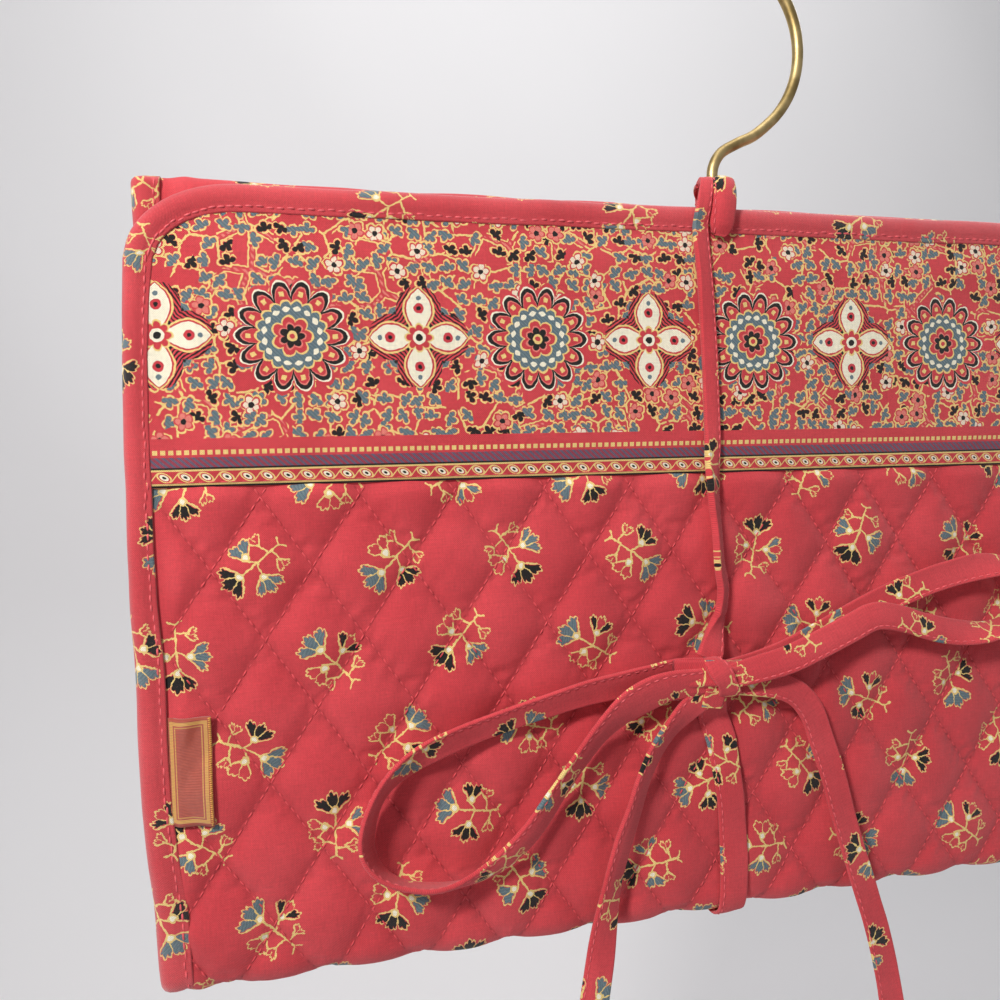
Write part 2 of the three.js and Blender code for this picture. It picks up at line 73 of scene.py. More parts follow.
def value_noise(x, y, seed):
    """Smooth noise between -1 and 1 over the plane, with features one unit wide."""
    x, y = np.broadcast_arrays(np.asarray(x, float), np.asarray(y, float))
    xi, yi = np.floor(x).astype(int), np.floor(y).astype(int)
    xf, yf = x - xi, y - yi

    def h(i, j):
        n = (i * 374761393 + j * 668265263 + seed * 982451653) & 0xFFFFFFFF
        n = ((n ^ (n >> 13)) * 1274126177) & 0xFFFFFFFF
        n = n ^ (n >> 16)
        return (n & 0xFFFF) / 32767.5 - 1.0

    u = xf * xf * xf * (xf * (xf * 6 - 15) + 10)
    w = yf * yf * yf * (yf * (yf * 6 - 15) + 10)
    a = h(xi, yi) * (1 - u) + h(xi + 1, yi) * u
    b = h(xi, yi + 1) * (1 - u) + h(xi + 1, yi + 1) * u
    return a * (1 - w) + b * w


def make(name, verts, faces, mats, cloth=None, face_mat=None, smooth=True):
    """A mesh object from millimetre points; cloth holds each point's place on the unfolded cloth."""
    verts = np.asarray(verts, float)
    used = np.zeros(len(verts), bool)
    used[np.concatenate([np.asarray(f).ravel() for f in faces])] = True
    if not used.all():
        place_ = np.cumsum(used) - 1
        verts = verts[used]
        cloth = None if cloth is None else np.asarray(cloth)[used]
        faces = [place_[np.asarray(f)] for f in faces]
    me = bpy.data.meshes.new(name)
    me.from_pydata((verts * MM).tolist(), [], [list(map(int, f)) for f in faces])
    if cloth is not None:
        c = np.zeros((len(verts), 3), np.float32)
        cloth = np.asarray(cloth, np.float32)
        c[:, : cloth.shape[1]] = cloth
        a = me.attributes.new("cloth", "FLOAT_VECTOR", "POINT")
        a.data.foreach_set("vector", c.ravel())
    for m in mats:
        me.materials.append(m)
    if face_mat is not None:
        me.polygons.foreach_set("material_index", np.asarray(face_mat, np.int32))
    me.polygons.foreach_set("use_smooth", np.full(len(me.polygons), smooth))
    me.update()
    o = bpy.data.objects.new(name, me)
    scene.collection.objects.link(o)
    return o


def grid_quads(nu, nv, flip=False, offset=0, wrap=False):
    """Faces of a grid whose point (i, j) has index i * nv + j; wrap closes it along j."""
    i, j = np.meshgrid(np.arange(nu - 1), np.arange(nv if wrap else nv - 1), indexing="ij")
    k = (j + 1) % nv if wrap else j + 1
    a, b, c, d = i * nv + j, (i + 1) * nv + j, (i + 1) * nv + k, i * nv + k
    q = np.stack([a, b, c, d], -1).reshape(-1, 4) + offset
    return q[:, ::-1] if flip else q


def grid_normals(P):
    """Unit normals of a grid of points, du x dv."""
    return unit(np.cross(np.gradient(P, axis=0), np.gradient(P, axis=1)))


def coarse_side(nu, nv, step, flip, offset):
    """Faces of the same grid in larger cells; the rim keeps every point, so it still closes."""
    I = list(range(0, nu - 1, step)) + [nu - 1]
    J = list(range(0, nv - 1, step)) + [nv - 1]
    out = []
    for i0, i1 in zip(I, I[1:]):
        for j0, j1 in zip(J, J[1:]):
            f = [i * nv + j0 for i in (range(i0, i1) if j0 == 0 else [i0])]
            f += [i1 * nv + j for j in (range(j0, j1) if i1 == nu - 1 else [j0])]
            f += [i * nv + j1 for i in (range(i1, i0, -1) if j1 == nv - 1 else [i1])]
            f += [i0 * nv + j for j in (range(j1, j0, -1) if i0 == 0 else [j1])]
            f = [q + offset for q in f]
            out.append(f[::-1] if flip else f)
    return out


def shell(P, thick, flip=False, coarse=1):
    """A closed cloth from a grid of points on its outer side, thick inwards. Returns points, faces."""
    nu, nv = P.shape[:2]
    N = grid_normals(P)
    if flip:
        N = -N
    Q = P - N * (thick if np.isscalar(thick) else thick[..., None])
    verts = np.concatenate([P.reshape(-1, 3), Q.reshape(-1, 3)])
    n = nu * nv
    faces = list(grid_quads(nu, nv, flip))
    faces += list(grid_quads(nu, nv, not flip, n)) if coarse == 1 else coarse_side(nu, nv, coarse, not flip, n)
    ring = np.concatenate(
        [
            np.arange(nv),
            np.arange(1, nu) * nv + nv - 1,
            (nu - 1) * nv + np.arange(nv - 2, -1, -1),
            np.arange(nu - 2, 0, -1) * nv,
        ]
    )
    nxt = np.roll(ring, -1)
    side = np.stack([ring, nxt, nxt + n, ring + n], -1)
    if flip:
        side = side[:, ::-1]
    return verts, faces + list(side)


def sweep(P, U, V, sections, caps=True):
    """Closed sections along points. sections: (m, k, 2) or (k, 2) in the frame U, V."""
    P, U, V = (np.asarray(a, float) for a in (P, U, V))
    S = np.asarray(sections, float)
    if S.ndim == 2:
        S = np.broadcast_to(S, (len(P),) + S.shape)
    G = P[:, None] + S[..., :1] * U[:, None] + S[..., 1:2] * V[:, None]
    m, k = G.shape[:2]
    faces = [list(f) for f in grid_quads(m, k, wrap=True)]
    if caps:
        faces.append(list(range(k - 1, -1, -1)))
        faces.append([(m - 1) * k + i for i in range(k)])
    return G.reshape(-1, 3), faces


def outward(verts, faces):
    """Turns the faces round when the closed mesh is inside out."""
    v = 0.0
    V = np.asarray(verts)
    for f in faces:
        a = V[f[0]]
        for i in range(1, len(f) - 1):
            v += np.dot(a, np.cross(V[f[i]], V[f[i + 1]]))
    return [list(f)[::-1] for f in faces] if v < 0 else faces


def resample(points, step=None, count=None):
    """Even points on a smooth curve through the given ones."""
    P = np.asarray(points, float)
    n = len(P)
    chord = np.linalg.norm(np.diff(P, axis=0), axis=1)
    t = np.concatenate([[0], np.cumsum(chord**0.5)])
    E = np.vstack([2 * P[0] - P[1], P, 2 * P[-1] - P[-2]])
    te = np.concatenate([[t[0] - (t[1] - t[0])], t, [t[-1] + (t[-1] - t[-2])]])
    out = []
    for i in range(n - 1):
        p0, p1, p2, p3 = E[i : i + 4]
        t0, t1, t2, t3 = te[i : i + 4]
        for s in np.linspace(t1, t2, 24, endpoint=False):
            a1 = (t1 - s) / (t1 - t0) * p0 + (s - t0) / (t1 - t0) * p1
            a2 = (t2 - s) / (t2 - t1) * p1 + (s - t1) / (t2 - t1) * p2
            a3 = (t3 - s) / (t3 - t2) * p2 + (s - t2) / (t3 - t2) * p3
            b1 = (t2 - s) / (t2 - t0) * a1 + (s - t0) / (t2 - t0) * a2
            b2 = (t3 - s) / (t3 - t1) * a2 + (s - t1) / (t3 - t1) * a3
            out.append((t2 - s) / (t2 - t1) * b1 + (s - t1) / (t2 - t1) * b2)
    out.append(P[-1])
    out = np.array(out)
    L = np.concatenate([[0], np.cumsum(np.linalg.norm(np.diff(out, axis=0), axis=1))])
    m = count or max(2, int(round(L[-1] / step)) + 1)
    s = np.linspace(0, L[-1], m)
    return np.stack([np.interp(s, L, out[:, k]) for k in range(3)], -1), s


def tangents(P):
    return unit(np.gradient(P, axis=0))


# ================================================================ materials
def rgba(r, g, b):
    """An sRGB colour, 0 to 255, as linear RGBA."""
    f = lambda c: ((c / 255 + 0.055) / 1.055) ** 2.4 if c > 10.3 else c / 255 / 12.92
    return (f(r), f(g), f(b), 1.0)


RED = rgba(198, 61, 68)
YELLOW = rgba(230, 200, 126)
BLUE = rgba(104, 122, 128)
BLACK = rgba(30, 28, 27)
CREAM = rgba(238, 230, 206)
PINK = rgba(220, 124, 112)
VIOLET = rgba(112, 84, 104)
PI = math.pi


class Nodes:
    """Short names for the shader nodes that the patterns are drawn with."""

    def __init__(self, tree):
        self.t = tree

    def node(self, kind, **props):
        n = self.t.nodes.new(kind)
        for k, v in props.items():
            setattr(n, k, v)
        return n

    def put(self, socket, value):
        if isinstance(value, bpy.types.NodeSocket):
            self.t.links.new(value, socket)
        elif value is not None:
            socket.default_value = value

    def m(self, op, *args, clamp=False):
        n = self.node("ShaderNodeMath", operation=op, use_clamp=clamp)
        for i, a in enumerate(args):
            self.put(n.inputs[i], a)
        return n.outputs[0]

    def vm(self, op, *args, scale=None):
        n = self.node("ShaderNodeVectorMath", operation=op)
        for i, a in enumerate(args):
            self.put(n.inputs[i], a)
        if scale is not None:
            self.put(n.inputs["Scale"], scale)
        return n.outputs["Value"] if op in ("LENGTH", "DISTANCE", "DOT_PRODUCT") else n.outputs["Vector"]

    def mix(self, f, a, b, blend="MIX"):
        n = self.node("ShaderNodeMix", data_type="RGBA", blend_type=blend)
        self.put(n.inputs[0], f)
        self.put(n.inputs[6], a)
        self.put(n.inputs[7], b)
        return n.outputs[2]

    def mixf(self, f, a, b):
        n = self.node("ShaderNodeMix", data_type="FLOAT")
        self.put(n.inputs[0], f)
        self.put(n.inputs[2], a)
        self.put(n.inputs[3], b)
        return n.outputs[0]

    def mixv(self, f, a, b):
        n = self.node("ShaderNodeMix", data_type="VECTOR")
        self.put(n.inputs[0], f)
        self.put(n.inputs[4], a)
        self.put(n.inputs[5], b)
        return n.outputs[1]

    def split(self, v):
        n = self.node("ShaderNodeSeparateXYZ")
        self.put(n.inputs[0], v)
        return n.outputs

    def join(self, x, y, z=0.0):
        n = self.node("ShaderNodeCombineXYZ")
        for i, a in enumerate((x, y, z)):
            self.put(n.inputs[i], a)
        return n.outputs[0]

    def turn(self, v, angle):
        n = self.node("ShaderNodeVectorRotate", rotation_type="Z_AXIS")
        self.put(n.inputs["Vector"], v)
        self.put(n.inputs["Angle"], angle)
        return n.outputs[0]

    def noise(self, v, scale, detail=2.0, rough=0.5, kind="Fac"):
        n = self.node("ShaderNodeTexNoise")
        self.put(n.inputs["Vector"], v)
        self.put(n.inputs["Scale"], scale)
        self.put(n.inputs["Detail"], detail)
        self.put(n.inputs["Roughness"], rough)
        return n.outputs[0 if kind == "Fac" else 1]

    def white(self, v):
        n = self.node("ShaderNodeTexWhiteNoise", noise_dimensions="2D")
        self.put(n.inputs["Vector"], v)
        return n.outputs["Value"], n.outputs["Color"]

    def smooth(self, x, a, b):
        n = self.node("ShaderNodeMapRange", interpolation_type="SMOOTHSTEP")
        for i, q in enumerate((x, a, b, 0.0, 1.0)):
            self.put(n.inputs[i], q)
        return n.outputs[0]

    def cloth(self):
        return self.node("ShaderNodeAttribute", attribute_type="GEOMETRY", attribute_name="cloth").outputs["Vector"]

    # ---- small drawing vocabulary; all sizes in millimetres
    def petals(self, q, R, n, base=0.55, power=0.7, span=None, stub=0.25, teeth=0.0):
        """Signed inner distance of a flower of n petals round q's origin, and the radius."""
        r = self.vm("LENGTH", q)
        x, y, _ = self.split(q)
        th = self.m("ARCTAN2", y, x)
        lob = self.m("POWER", self.m("ABSOLUTE", self.m("COSINE", self.m("MULTIPLY", th, n / 2))), power)
        edge = self.m("MULTIPLY_ADD", lob, R * (1 - base), R * base)
        if teeth:
            edge = self.m("MULTIPLY_ADD", self.m("SINE", self.m("MULTIPLY", th, n * 3.0)), teeth, edge)
        if span is not None:
            side = self.m("LESS_THAN", self.m("ABSOLUTE", th), span)
            edge = self.mixf(side, R * stub, edge)
        return self.m("SUBTRACT", edge, r), r

    def leaf(self, q, length, width):
        """Signed inner distance (roughly) of a pointed leaf from q's origin along +X."""
        x, y, _ = self.split(q)
        t = self.m("DIVIDE", x, length, clamp=True)
        w = self.m("SINE", self.m("MULTIPLY", self.m("POWER", t, 0.8), PI))
        return self.m("SUBTRACT", self.m("MULTIPLY", w, width / 2), self.m("ABSOLUTE", y))

    def line(self, p, cx, cy, half):
        """1 within half of the stretch from the origin to (cx, cy)."""
        L = math.hypot(cx, cy)
        e = (cx / L, cy / L, 0.0)
        t = self.m("MINIMUM", self.m("MAXIMUM", self.vm("DOT_PRODUCT", p, e), 0.0), L)
        d = self.vm("DISTANCE", p, self.vm("SCALE", e, scale=t))
        return self.m("LESS_THAN", d, half)

    def over(self, col, d, width, line, fill):
        """Paints a shape's outline and inside over col; fill None leaves the inside open."""
        out = self.mix(self.m("GREATER_THAN", d, 0.0), col, line)
        inside = self.m("GREATER_THAN", d, width)
        return self.mix(inside, out, col if fill is None else fill)


def group(name, outputs=("Color",)):
    t = bpy.data.node_groups.new(name, "ShaderNodeTree")
    t.interface.new_socket("Vector", in_out="INPUT", socket_type="NodeSocketVector")
    t.interface.new_socket("Ground", in_out="INPUT", socket_type="NodeSocketColor")
    t.interface.new_socket("Color", in_out="OUTPUT", socket_type="NodeSocketColor")
    k = Nodes(t)
    i, o = k.node("NodeGroupInput"), k.node("NodeGroupOutput")
    return k, i.outputs[0], i.outputs[1], o.inputs[0]


def fan(k, col, p, centre, way, R, n, span, fill, fill2=None, heart=0.2, line=0.42, tooth=0.2):
    """A flower of n toothed petals that spread from a heart, drawn over col.
    fill and fill2 take turns; None leaves a petal open."""
    q = k.turn(k.vm("SUBTRACT", p, (centre[0], centre[1], 0.0)), -way)
    r = k.vm("LENGTH", q)
    x, y, _ = k.split(q)
    th = k.m("ARCTAN2", y, x)
    u = k.m("MULTIPLY_ADD", th, n / (2 * span), n / 2)
    f = k.m("SUBTRACT", k.m("FRACT", u), 0.5)
    petal = k.m("MULTIPLY", k.m("SUBTRACT", 0.5, k.m("ABSOLUTE", f)), k.m("MULTIPLY", r, 2 * span / n))
    teeth = k.m("ABSOLUTE", k.m("COSINE", k.m("MULTIPLY", f, 3 * PI)))
    arch = k.m("COSINE", k.m("MULTIPLY", f, 2.3))
    edge = k.m("MULTIPLY", k.m("MULTIPLY_ADD", teeth, tooth, k.m("MULTIPLY_ADD", arch, 0.38, 0.62 - tooth)), R * 1.04)
    rim = k.m("SUBTRACT", edge, r)
    side = k.m("MULTIPLY", k.m("SUBTRACT", span, k.m("ABSOLUTE", th)), r)
    d = k.m("MINIMUM", side, rim)
    shape = k.m("GREATER_THAN", d, 0.0)
    base = col
    odd = k.m("GREATER_THAN", k.m("FRACT", k.m("MULTIPLY", k.m("FLOOR", u), 0.5)), 0.25)
    f1 = base if fill is None else fill
    f2 = f1 if fill2 == "same" else (base if fill2 is None else fill2)
    body = k.mix(odd, f1, f2) if f1 is not f2 else f1
    if fill is not None:
        body = k.mix(k.m("LESS_THAN", petal, 0.15), body, YELLOW)
    else:
        body = k.mix(k.m("MULTIPLY", k.m("LESS_THAN", petal, 0.13), k.m("GREATER_THAN", r, R * 0.45)), body, YELLOW)
    col = k.mix(shape, col, YELLOW)
    col = k.mix(k.m("GREATER_THAN", d, line), col, base)
    col = k.mix(k.m("GREATER_THAN", d, line + 0.17), col, body)
    if heart:
        hd = k.vm("LENGTH", k.vm("SUBTRACT", q, (R * heart * 1.3, 0.0, 0.0)))
        col = k.mix(k.m("LESS_THAN", hd, R * heart + 0.25), col, YELLOW)
        col = k.mix(k.m("LESS_THAN", hd, R * heart * 0.75), col, CREAM)
    return col


def sprig_group():
    """Small sprays of flowers, staggered, each turned its own way."""
    k, V, ground, out = group("sprigs")
    PX, PY = 30.5, 39.5
    # nearest point of two interleaved rows
    a = k.vm("DIVIDE", V, (PX, PY, 1.0))
    b = k.vm("ADD", a, (0.5, 0.5, 0.0))
    ca, cb = k.vm("FLOOR", a), k.vm("FLOOR", b)
    la = k.vm("MULTIPLY", k.vm("SUBTRACT", k.vm("SUBTRACT", a, ca), (0.5, 0.5, 0.0)), (PX, PY, 0.0))
    lb = k.vm("MULTIPLY", k.vm("SUBTRACT", k.vm("SUBTRACT", b, cb), (0.5, 0.5, 0.0)), (PX, PY, 0.0))
    near = k.m("LESS_THAN", k.vm("LENGTH", la), k.vm("LENGTH", lb))
    local = k.mixv(near, lb, la)
    cell = k.mixv(near, k.vm("ADD", cb, (17.3, 9.1, 0.0)), ca)
    r1, rc = k.white(cell)
    r2, r3, r4 = k.split(rc)
    shift = k.vm("SCALE", k.vm("SUBTRACT", rc, (0.5, 0.5, 0.5)), scale=3.0)
    local = k.vm("MULTIPLY", k.vm("SUBTRACT", local, shift), (1.0, 1.0, 0.0))
    p = k.turn(local, k.m("MULTIPLY", r1, 2 * PI))
    flip = k.m("SUBTRACT", k.m("MULTIPLY", k.m("GREATER_THAN", r2, 0.5), 2.0), 1.0)
    x, y, _ = k.split(p)
    p = k.join(x, k.m("MULTIPLY", y, flip))
    # uneven, hand-cut edges
    wob = k.vm("SCALE", k.vm("SUBTRACT", k.noise(V, 0.8, 2.0, 0.6, "Color"), (0.5, 0.5, 0.5)), scale=1.1)
    p = k.vm("SCALE", k.vm("ADD", p, k.vm("MULTIPLY", wob, (1.0, 1.0, 0.0))), scale=1.1)
    col = ground
    hatch = k.m("GREATER_THAN", k.m("SINE", k.vm("DOT_PRODUCT", p, (6.4, 6.4, 0.0))), 0.2)
    blue = k.mix(hatch, BLUE, rgba(90, 107, 114))
    swap = k.m("GREATER_THAN", r3, 0.5)
    main = k.mix(swap, blue, BLACK)
    other = k.mix(swap, BLACK, blue)
    stems = None
    for ox, oy, cx, cy, w in (
        (-8.6, -2.2, 6.2, 1.9, 0.25), (-2.6, -0.4, 4.6, 1.6, 0.25), (-2.6, -0.4, 1.6, 3.2, 0.22), (-2.4, -0.4, 2.2, -2.4, 0.22),
        (-5.6, -1.3, -0.4, 3.4, 0.22), (-8.4, -2.2, -1.3, 1.3, 0.22), (-8.4, -2.2, -0.6, -1.7, 0.22), (-6.6, -1.6, 1.2, -3.0, 0.22),
    ):
        st = k.line(k.vm("SUBTRACT", p, (ox, oy, 0.0)), cx, cy, w)
        stems = st if stems is None else k.m("MAXIMUM", stems, st)
    col = k.mix(stems, col, YELLOW)
    third = k.mix(k.m("GREATER_THAN", r4, 0.45), ground, other)
    col = fan(k, col, p, (-5.8, 1.2), 1.9, 3.5, 2, 0.72, None, "same", 0, tooth=0.14)
    col = fan(k, col, p, (-5.4, -3.4), -1.35, 3.4, 2, 0.72, None, "same", 0, tooth=0.14)
    col = fan(k, col, p, (1.6, 1.0), 0.42, 6.3, 3, 1.02, main, "same", 0.14, tooth=0.11)
    col = fan(k, col, p, (-1.7, 1.7), 1.95, 5.4, 2, 0.78, third, "same", 0.15, tooth=0.1)
    col = fan(k, col, p, (-0.6, -2.2), -1.15, 5.7, 3, 0.88, other, k.mix(k.m("GREATER_THAN", r2, 0.5), other, ground), 0.14, tooth=0.1)
    k.put(out, col)
    return k.t


def border_group():
    """The border: rosettes and four-petalled crosses by turns in a ground of small flowers,
    over a stripe of squares, a hatched stripe and a chain between two dark lines."""
    k, V, ground, out = group("border")
    X, Y, _ = k.split(V)
    col = ground
    hatch = k.m("GREATER_THAN", k.m("SINE", k.m("ADD", k.m("MULTIPLY", X, 7.0), k.m("MULTIPLY", Y, 7.0))), 0.3)
    blue = k.mix(hatch, BLUE, rgba(84, 102, 110))
    wob = k.vm("SCALE", k.vm("SUBTRACT", k.noise(V, 0.8, 2.0, 0.6, "Color"), (0.5, 0.5, 0.5)), scale=0.85)
    VW = k.vm("ADD", V, k.vm("MULTIPLY", wob, (1.0, 1.0, 0.0)))
    # --- ground of small flowers and leaves
    # stalks: the borders between larger cells, with a dotted vine here and there
    edge = k.node("ShaderNodeTexVoronoi", voronoi_dimensions="2D", feature="DISTANCE_TO_EDGE")
    k.put(edge.inputs["Vector"], k.vm("SCALE", k.vm("ADD", VW, (31.3, 7.7, 0.0)), scale=1 / 7.5))
    k.put(edge.inputs["Scale"], 1.0)
    k.put(edge.inputs["Randomness"], 1.0)
    e = k.m("MULTIPLY", edge.outputs["Distance"], 7.5)
    vine = k.m("GREATER_THAN", k.noise(V, 0.07, 1.0), 0.54)
    stalk = k.m("LESS_THAN", e, 0.24)
    rails = k.m("LESS_THAN", k.m("ABSOLUTE", k.m("SUBTRACT", e, 0.85)), 0.17)
    col = k.mix(k.mixf(vine, k.m("MULTIPLY", stalk, k.m("GREATER_THAN", k.noise(V, 0.2, 1.0), 0.44)), rails), col, YELLOW)
    beads = k.m("MULTIPLY", k.m("LESS_THAN", e, 0.3), k.m("GREATER_THAN", k.m("SINE", k.m("MULTIPLY", k.m("ADD", X, Y), 3.9)), 0.1))
    col = k.mix(k.m("MULTIPLY", vine, beads), col, PINK)
    isflower = None
    for S, ox, seed_cut, R3, R5 in ((3.75, 3.1, 0.16, 1.72, 1.55), (4.7, 41.7, 0.2, 1.75, 1.85)):
        vor = k.node("ShaderNodeTexVoronoi", voronoi_dimensions="2D", feature="F1")
        q = k.vm("SCALE", k.vm("ADD", VW, (ox, ox * 0.37, 0.0)), scale=1 / S)
        k.put(vor.inputs["Vector"], q)
        k.put(vor.inputs["Scale"], 1.0)
        k.put(vor.inputs["Randomness"], 0.62)
        loc = k.vm("SCALE", k.vm("SUBTRACT", q, vor.outputs["Position"]), scale=S)
        cr, cg, cb = k.split(vor.outputs["Color"])
        loc = k.turn(k.vm("MULTIPLY", loc, (1.0, 1.0, 0.0)), k.m("MULTIPLY", cg, 2 * PI))
        if S < 4.0:
            # leaves of three lobes
            isblack = k.m("GREATER_THAN", cr, 0.73)
            body = k.mix(isblack, blue, BLACK)
            q2 = k.vm("ADD", loc, (0.9, 0.0, 0.0))
            d, r = k.petals(q2, 1.9, 5, 0.42, 0.6, span=1.88, stub=0.3)
            leaf = k.mix(k.m("GREATER_THAN", d, -0.42), col, k.mix(k.m("GREATER_THAN", d, -0.5), ground, YELLOW))
            leaf = k.mix(k.m("GREATER_THAN", d, 0.0), leaf, ground)
            leaf = k.mix(k.m("GREATER_THAN", d, 0.14), leaf, body)
            col = k.mix(k.m("LESS_THAN", cb, 0.84), col, leaf)
        else:
            # flowers of five petals
            d5, r5 = k.petals(loc, R5, 5, 0.56, 0.8)
            pale = k.mix(k.m("GREATER_THAN", cb, 0.55), rgba(232, 214, 190), PINK)
            halo = k.m("GREATER_THAN", d5, -0.85)
            ring = k.m("GREATER_THAN", d5, -0.42)
            f = k.over(k.mix(ring, k.mix(halo, col, YELLOW), ground), d5, 0.0, pale, pale)
            lines = k.m("LESS_THAN", k.m("ABSOLUTE", k.m("COSINE", k.m("MULTIPLY", k.m("ARCTAN2", k.split(loc)[1], k.split(loc)[0]), 2.5))), 0.2)
            f = k.mix(k.m("MULTIPLY", lines, k.m("GREATER_THAN", d5, 0.0)), f, ground)
            f = k.mix(k.m("LESS_THAN", r5, 0.62), f, BLACK)
            col = k.mix(k.m("LESS_THAN", cr, seed_cut), col, f)

    # --- large motifs, 28 mm apart, by turns a rosette and a cross
    P = 56.0
    xs = k.m("DIVIDE", k.m("ADD", X, 140.0), P)
    fx = k.m("MULTIPLY", k.m("SUBTRACT", k.m("FRACT", xs), 0.5), P)
    ro = k.join(fx, k.m("SUBTRACT", Y, 51.5))
    xs2 = k.m("DIVIDE", k.m("ADD", X, 140.0 - P / 2), P)
    fx2 = k.m("MULTIPLY", k.m("SUBTRACT", k.m("FRACT", xs2), 0.5), P)
    al = k.join(fx2, k.m("SUBTRACT", Y, 51.5))
    wv = k.vm("MULTIPLY", wob, (0.7, 0.7, 0.0))
    ro, al = k.vm("ADD", ro, wv), k.vm("ADD", al, wv)
    r = k.vm("LENGTH", ro)
    x, y, _ = k.split(ro)
    th = k.m("ARCTAN2", y, x)
    # rosette: pointed petals with a white line, then rings
    d, _ = k.petals(ro, 12.4, 14, 0.70, 0.55)
    col = k.mix(k.m("GREATER_THAN", d, -0.9), col, ground)
    col = k.over(col, d, 0.42, CREAM, BLACK)
    dd, _ = k.petals(ro, 11.3, 14, 0.66, 0.8)
    col = k.over(col, k.m("SUBTRACT", dd, 0.3), 0.36, PINK, RED)
    kern = k.m("MULTIPLY", k.m("LESS_THAN", k.m("ABSOLUTE", k.m("SUBTRACT", r, 9.3)), 0.55), k.m("GREATER_THAN", k.m("ABSOLUTE", k.m("COSINE", k.m("MULTIPLY", th, 7.0))), 0.93))
    col = k.mix(kern, col, YELLOW)
    d, _ = k.petals(ro, 8.1, 18, 0.88, 0.8)
    col = k.over(col, d, 0.5, YELLOW, blue)
    beads = k.m("SUBTRACT", k.m("MULTIPLY", k.m("ABSOLUTE", k.m("SINE", k.m("MULTIPLY", th, 8.0))), 0.95), k.m("ABSOLUTE", k.m("SUBTRACT", r, 6.0)))
    col = k.mix(k.m("GREATER_THAN", beads, 0.35), col, CREAM)
    d, _ = k.petals(ro, 4.7, 7, 0.72, 0.7)
    col = k.over(col, d, 0.45, YELLOW, RED)
    d, _ = k.petals(ro, 3.1, 7, 0.66, 0.7)
    col = k.over(col, d, 0.4, PINK, BLACK)
    col = k.mix(k.m("LESS_THAN", r, 1.15), col, YELLOW)
    col = k.mix(k.m("LESS_THAN", r, 0.6), col, RED)
    # cross: four pale petals up, down and to the sides; short dark and blue leaves between them
    ax, ay, _ = k.split(k.vm("ABSOLUTE", al))
    big = k.m("MAXIMUM", ax, ay)
    small = k.m("MINIMUM", ax, ay)
    rr = k.vm("LENGTH", al)
    dia = k.m("ABSOLUTE", k.m("SUBTRACT", ax, ay))
    sumd = k.m("MULTIPLY", k.m("ADD", ax, ay), 0.7071)
    # leaves on the diagonals
    t = k.m("DIVIDE", sumd, 9.6, clamp=True)
    lw = k.m("MULTIPLY", k.m("SINE", k.m("MULTIPLY", k.m("POWER", t, 1.3), PI)), 2.9)
    saw = k.m("MULTIPLY", k.m("ABSOLUTE", k.m("SINE", k.m("MULTIPLY", sumd, 2.4))), 0.8)
    dl = k.m("SUBTRACT", k.m("ADD", lw, k.m("SUBTRACT", saw, 0.4)), k.m("MULTIPLY", dia, 0.7071))
    col = k.mix(k.m("MULTIPLY", k.m("GREATER_THAN", dl, -0.5), k.m("LESS_THAN", sumd, 9.8)), col, ground)
    dl = k.m("MULTIPLY", dl, k.m("LESS_THAN", sumd, 9.4))
    col = k.over(col, dl, 0.42, YELLOW, blue)
    rib = k.m("MULTIPLY", k.m("LESS_THAN", dia, 0.45), k.m("MULTIPLY", k.m("LESS_THAN", sumd, 8.0), k.m("GREATER_THAN", sumd, 2.0)))
    col = k.mix(rib, col, BLACK)
    # petals
    t = k.m("DIVIDE", big, 11.6, clamp=True)
    pw = k.m("MULTIPLY", k.m("POWER", k.m("SINE", k.m("MULTIPLY", k.m("POWER", t, 1.15), PI)), 0.8), 3.7)
    dp = k.m("SUBTRACT", pw, small)
    strokes = k.m("MULTIPLY", k.m("GREATER_THAN", dp, -1.5), k.m("GREATER_THAN", k.m("SINE", k.m("MULTIPLY", k.m("ADD", big, k.m("MULTIPLY", small, 1.6)), 4.6)), 0.1))
    near_petal = k.m("MULTIPLY", k.m("LESS_THAN", big, 11.2), k.m("GREATER_THAN", big, 3.0))
    col = k.mix(k.m("MULTIPLY", near_petal, k.m("GREATER_THAN", dp, -1.5)), col, ground)
    col = k.mix(k.m("MULTIPLY", near_petal, strokes), col, BLACK)
    dp = k.m("MULTIPLY", dp, k.m("LESS_THAN", big, 11.5))
    col = k.over(col, dp, 0.45, YELLOW, RED)
    col = k.over(col, k.m("SUBTRACT", dp, 0.85), 0.25, CREAM, CREAM)
    spot = k.vm("LENGTH", k.join(k.m("SUBTRACT", big, 6.6), small))
    col = k.mix(k.m("LESS_THAN", spot, 1.15), col, RED)
    col = k.mix(k.m("LESS_THAN", spot, 0.5), col, BLACK)
    spot = k.vm("LENGTH", k.join(k.m("SUBTRACT", big, 8.9), small))
    col = k.mix(k.m("LESS_THAN", spot, 0.55), col, BLUE)
    d, _ = k.petals(al, 3.4, 8, 0.7, 0.7)
    col = k.over(col, d, 0.45, YELLOW, RED)
    col = k.mix(k.m("LESS_THAN", rr, 1.5), col, CREAM)
    col = k.mix(k.m("LESS_THAN", rr, 0.8), col, BLACK)

    # --- the stripes under it
    def band(lo, hi):
        return k.m("MULTIPLY", k.m("GREATER_THAN", Y, lo), k.m("LESS_THAN", Y, hi))

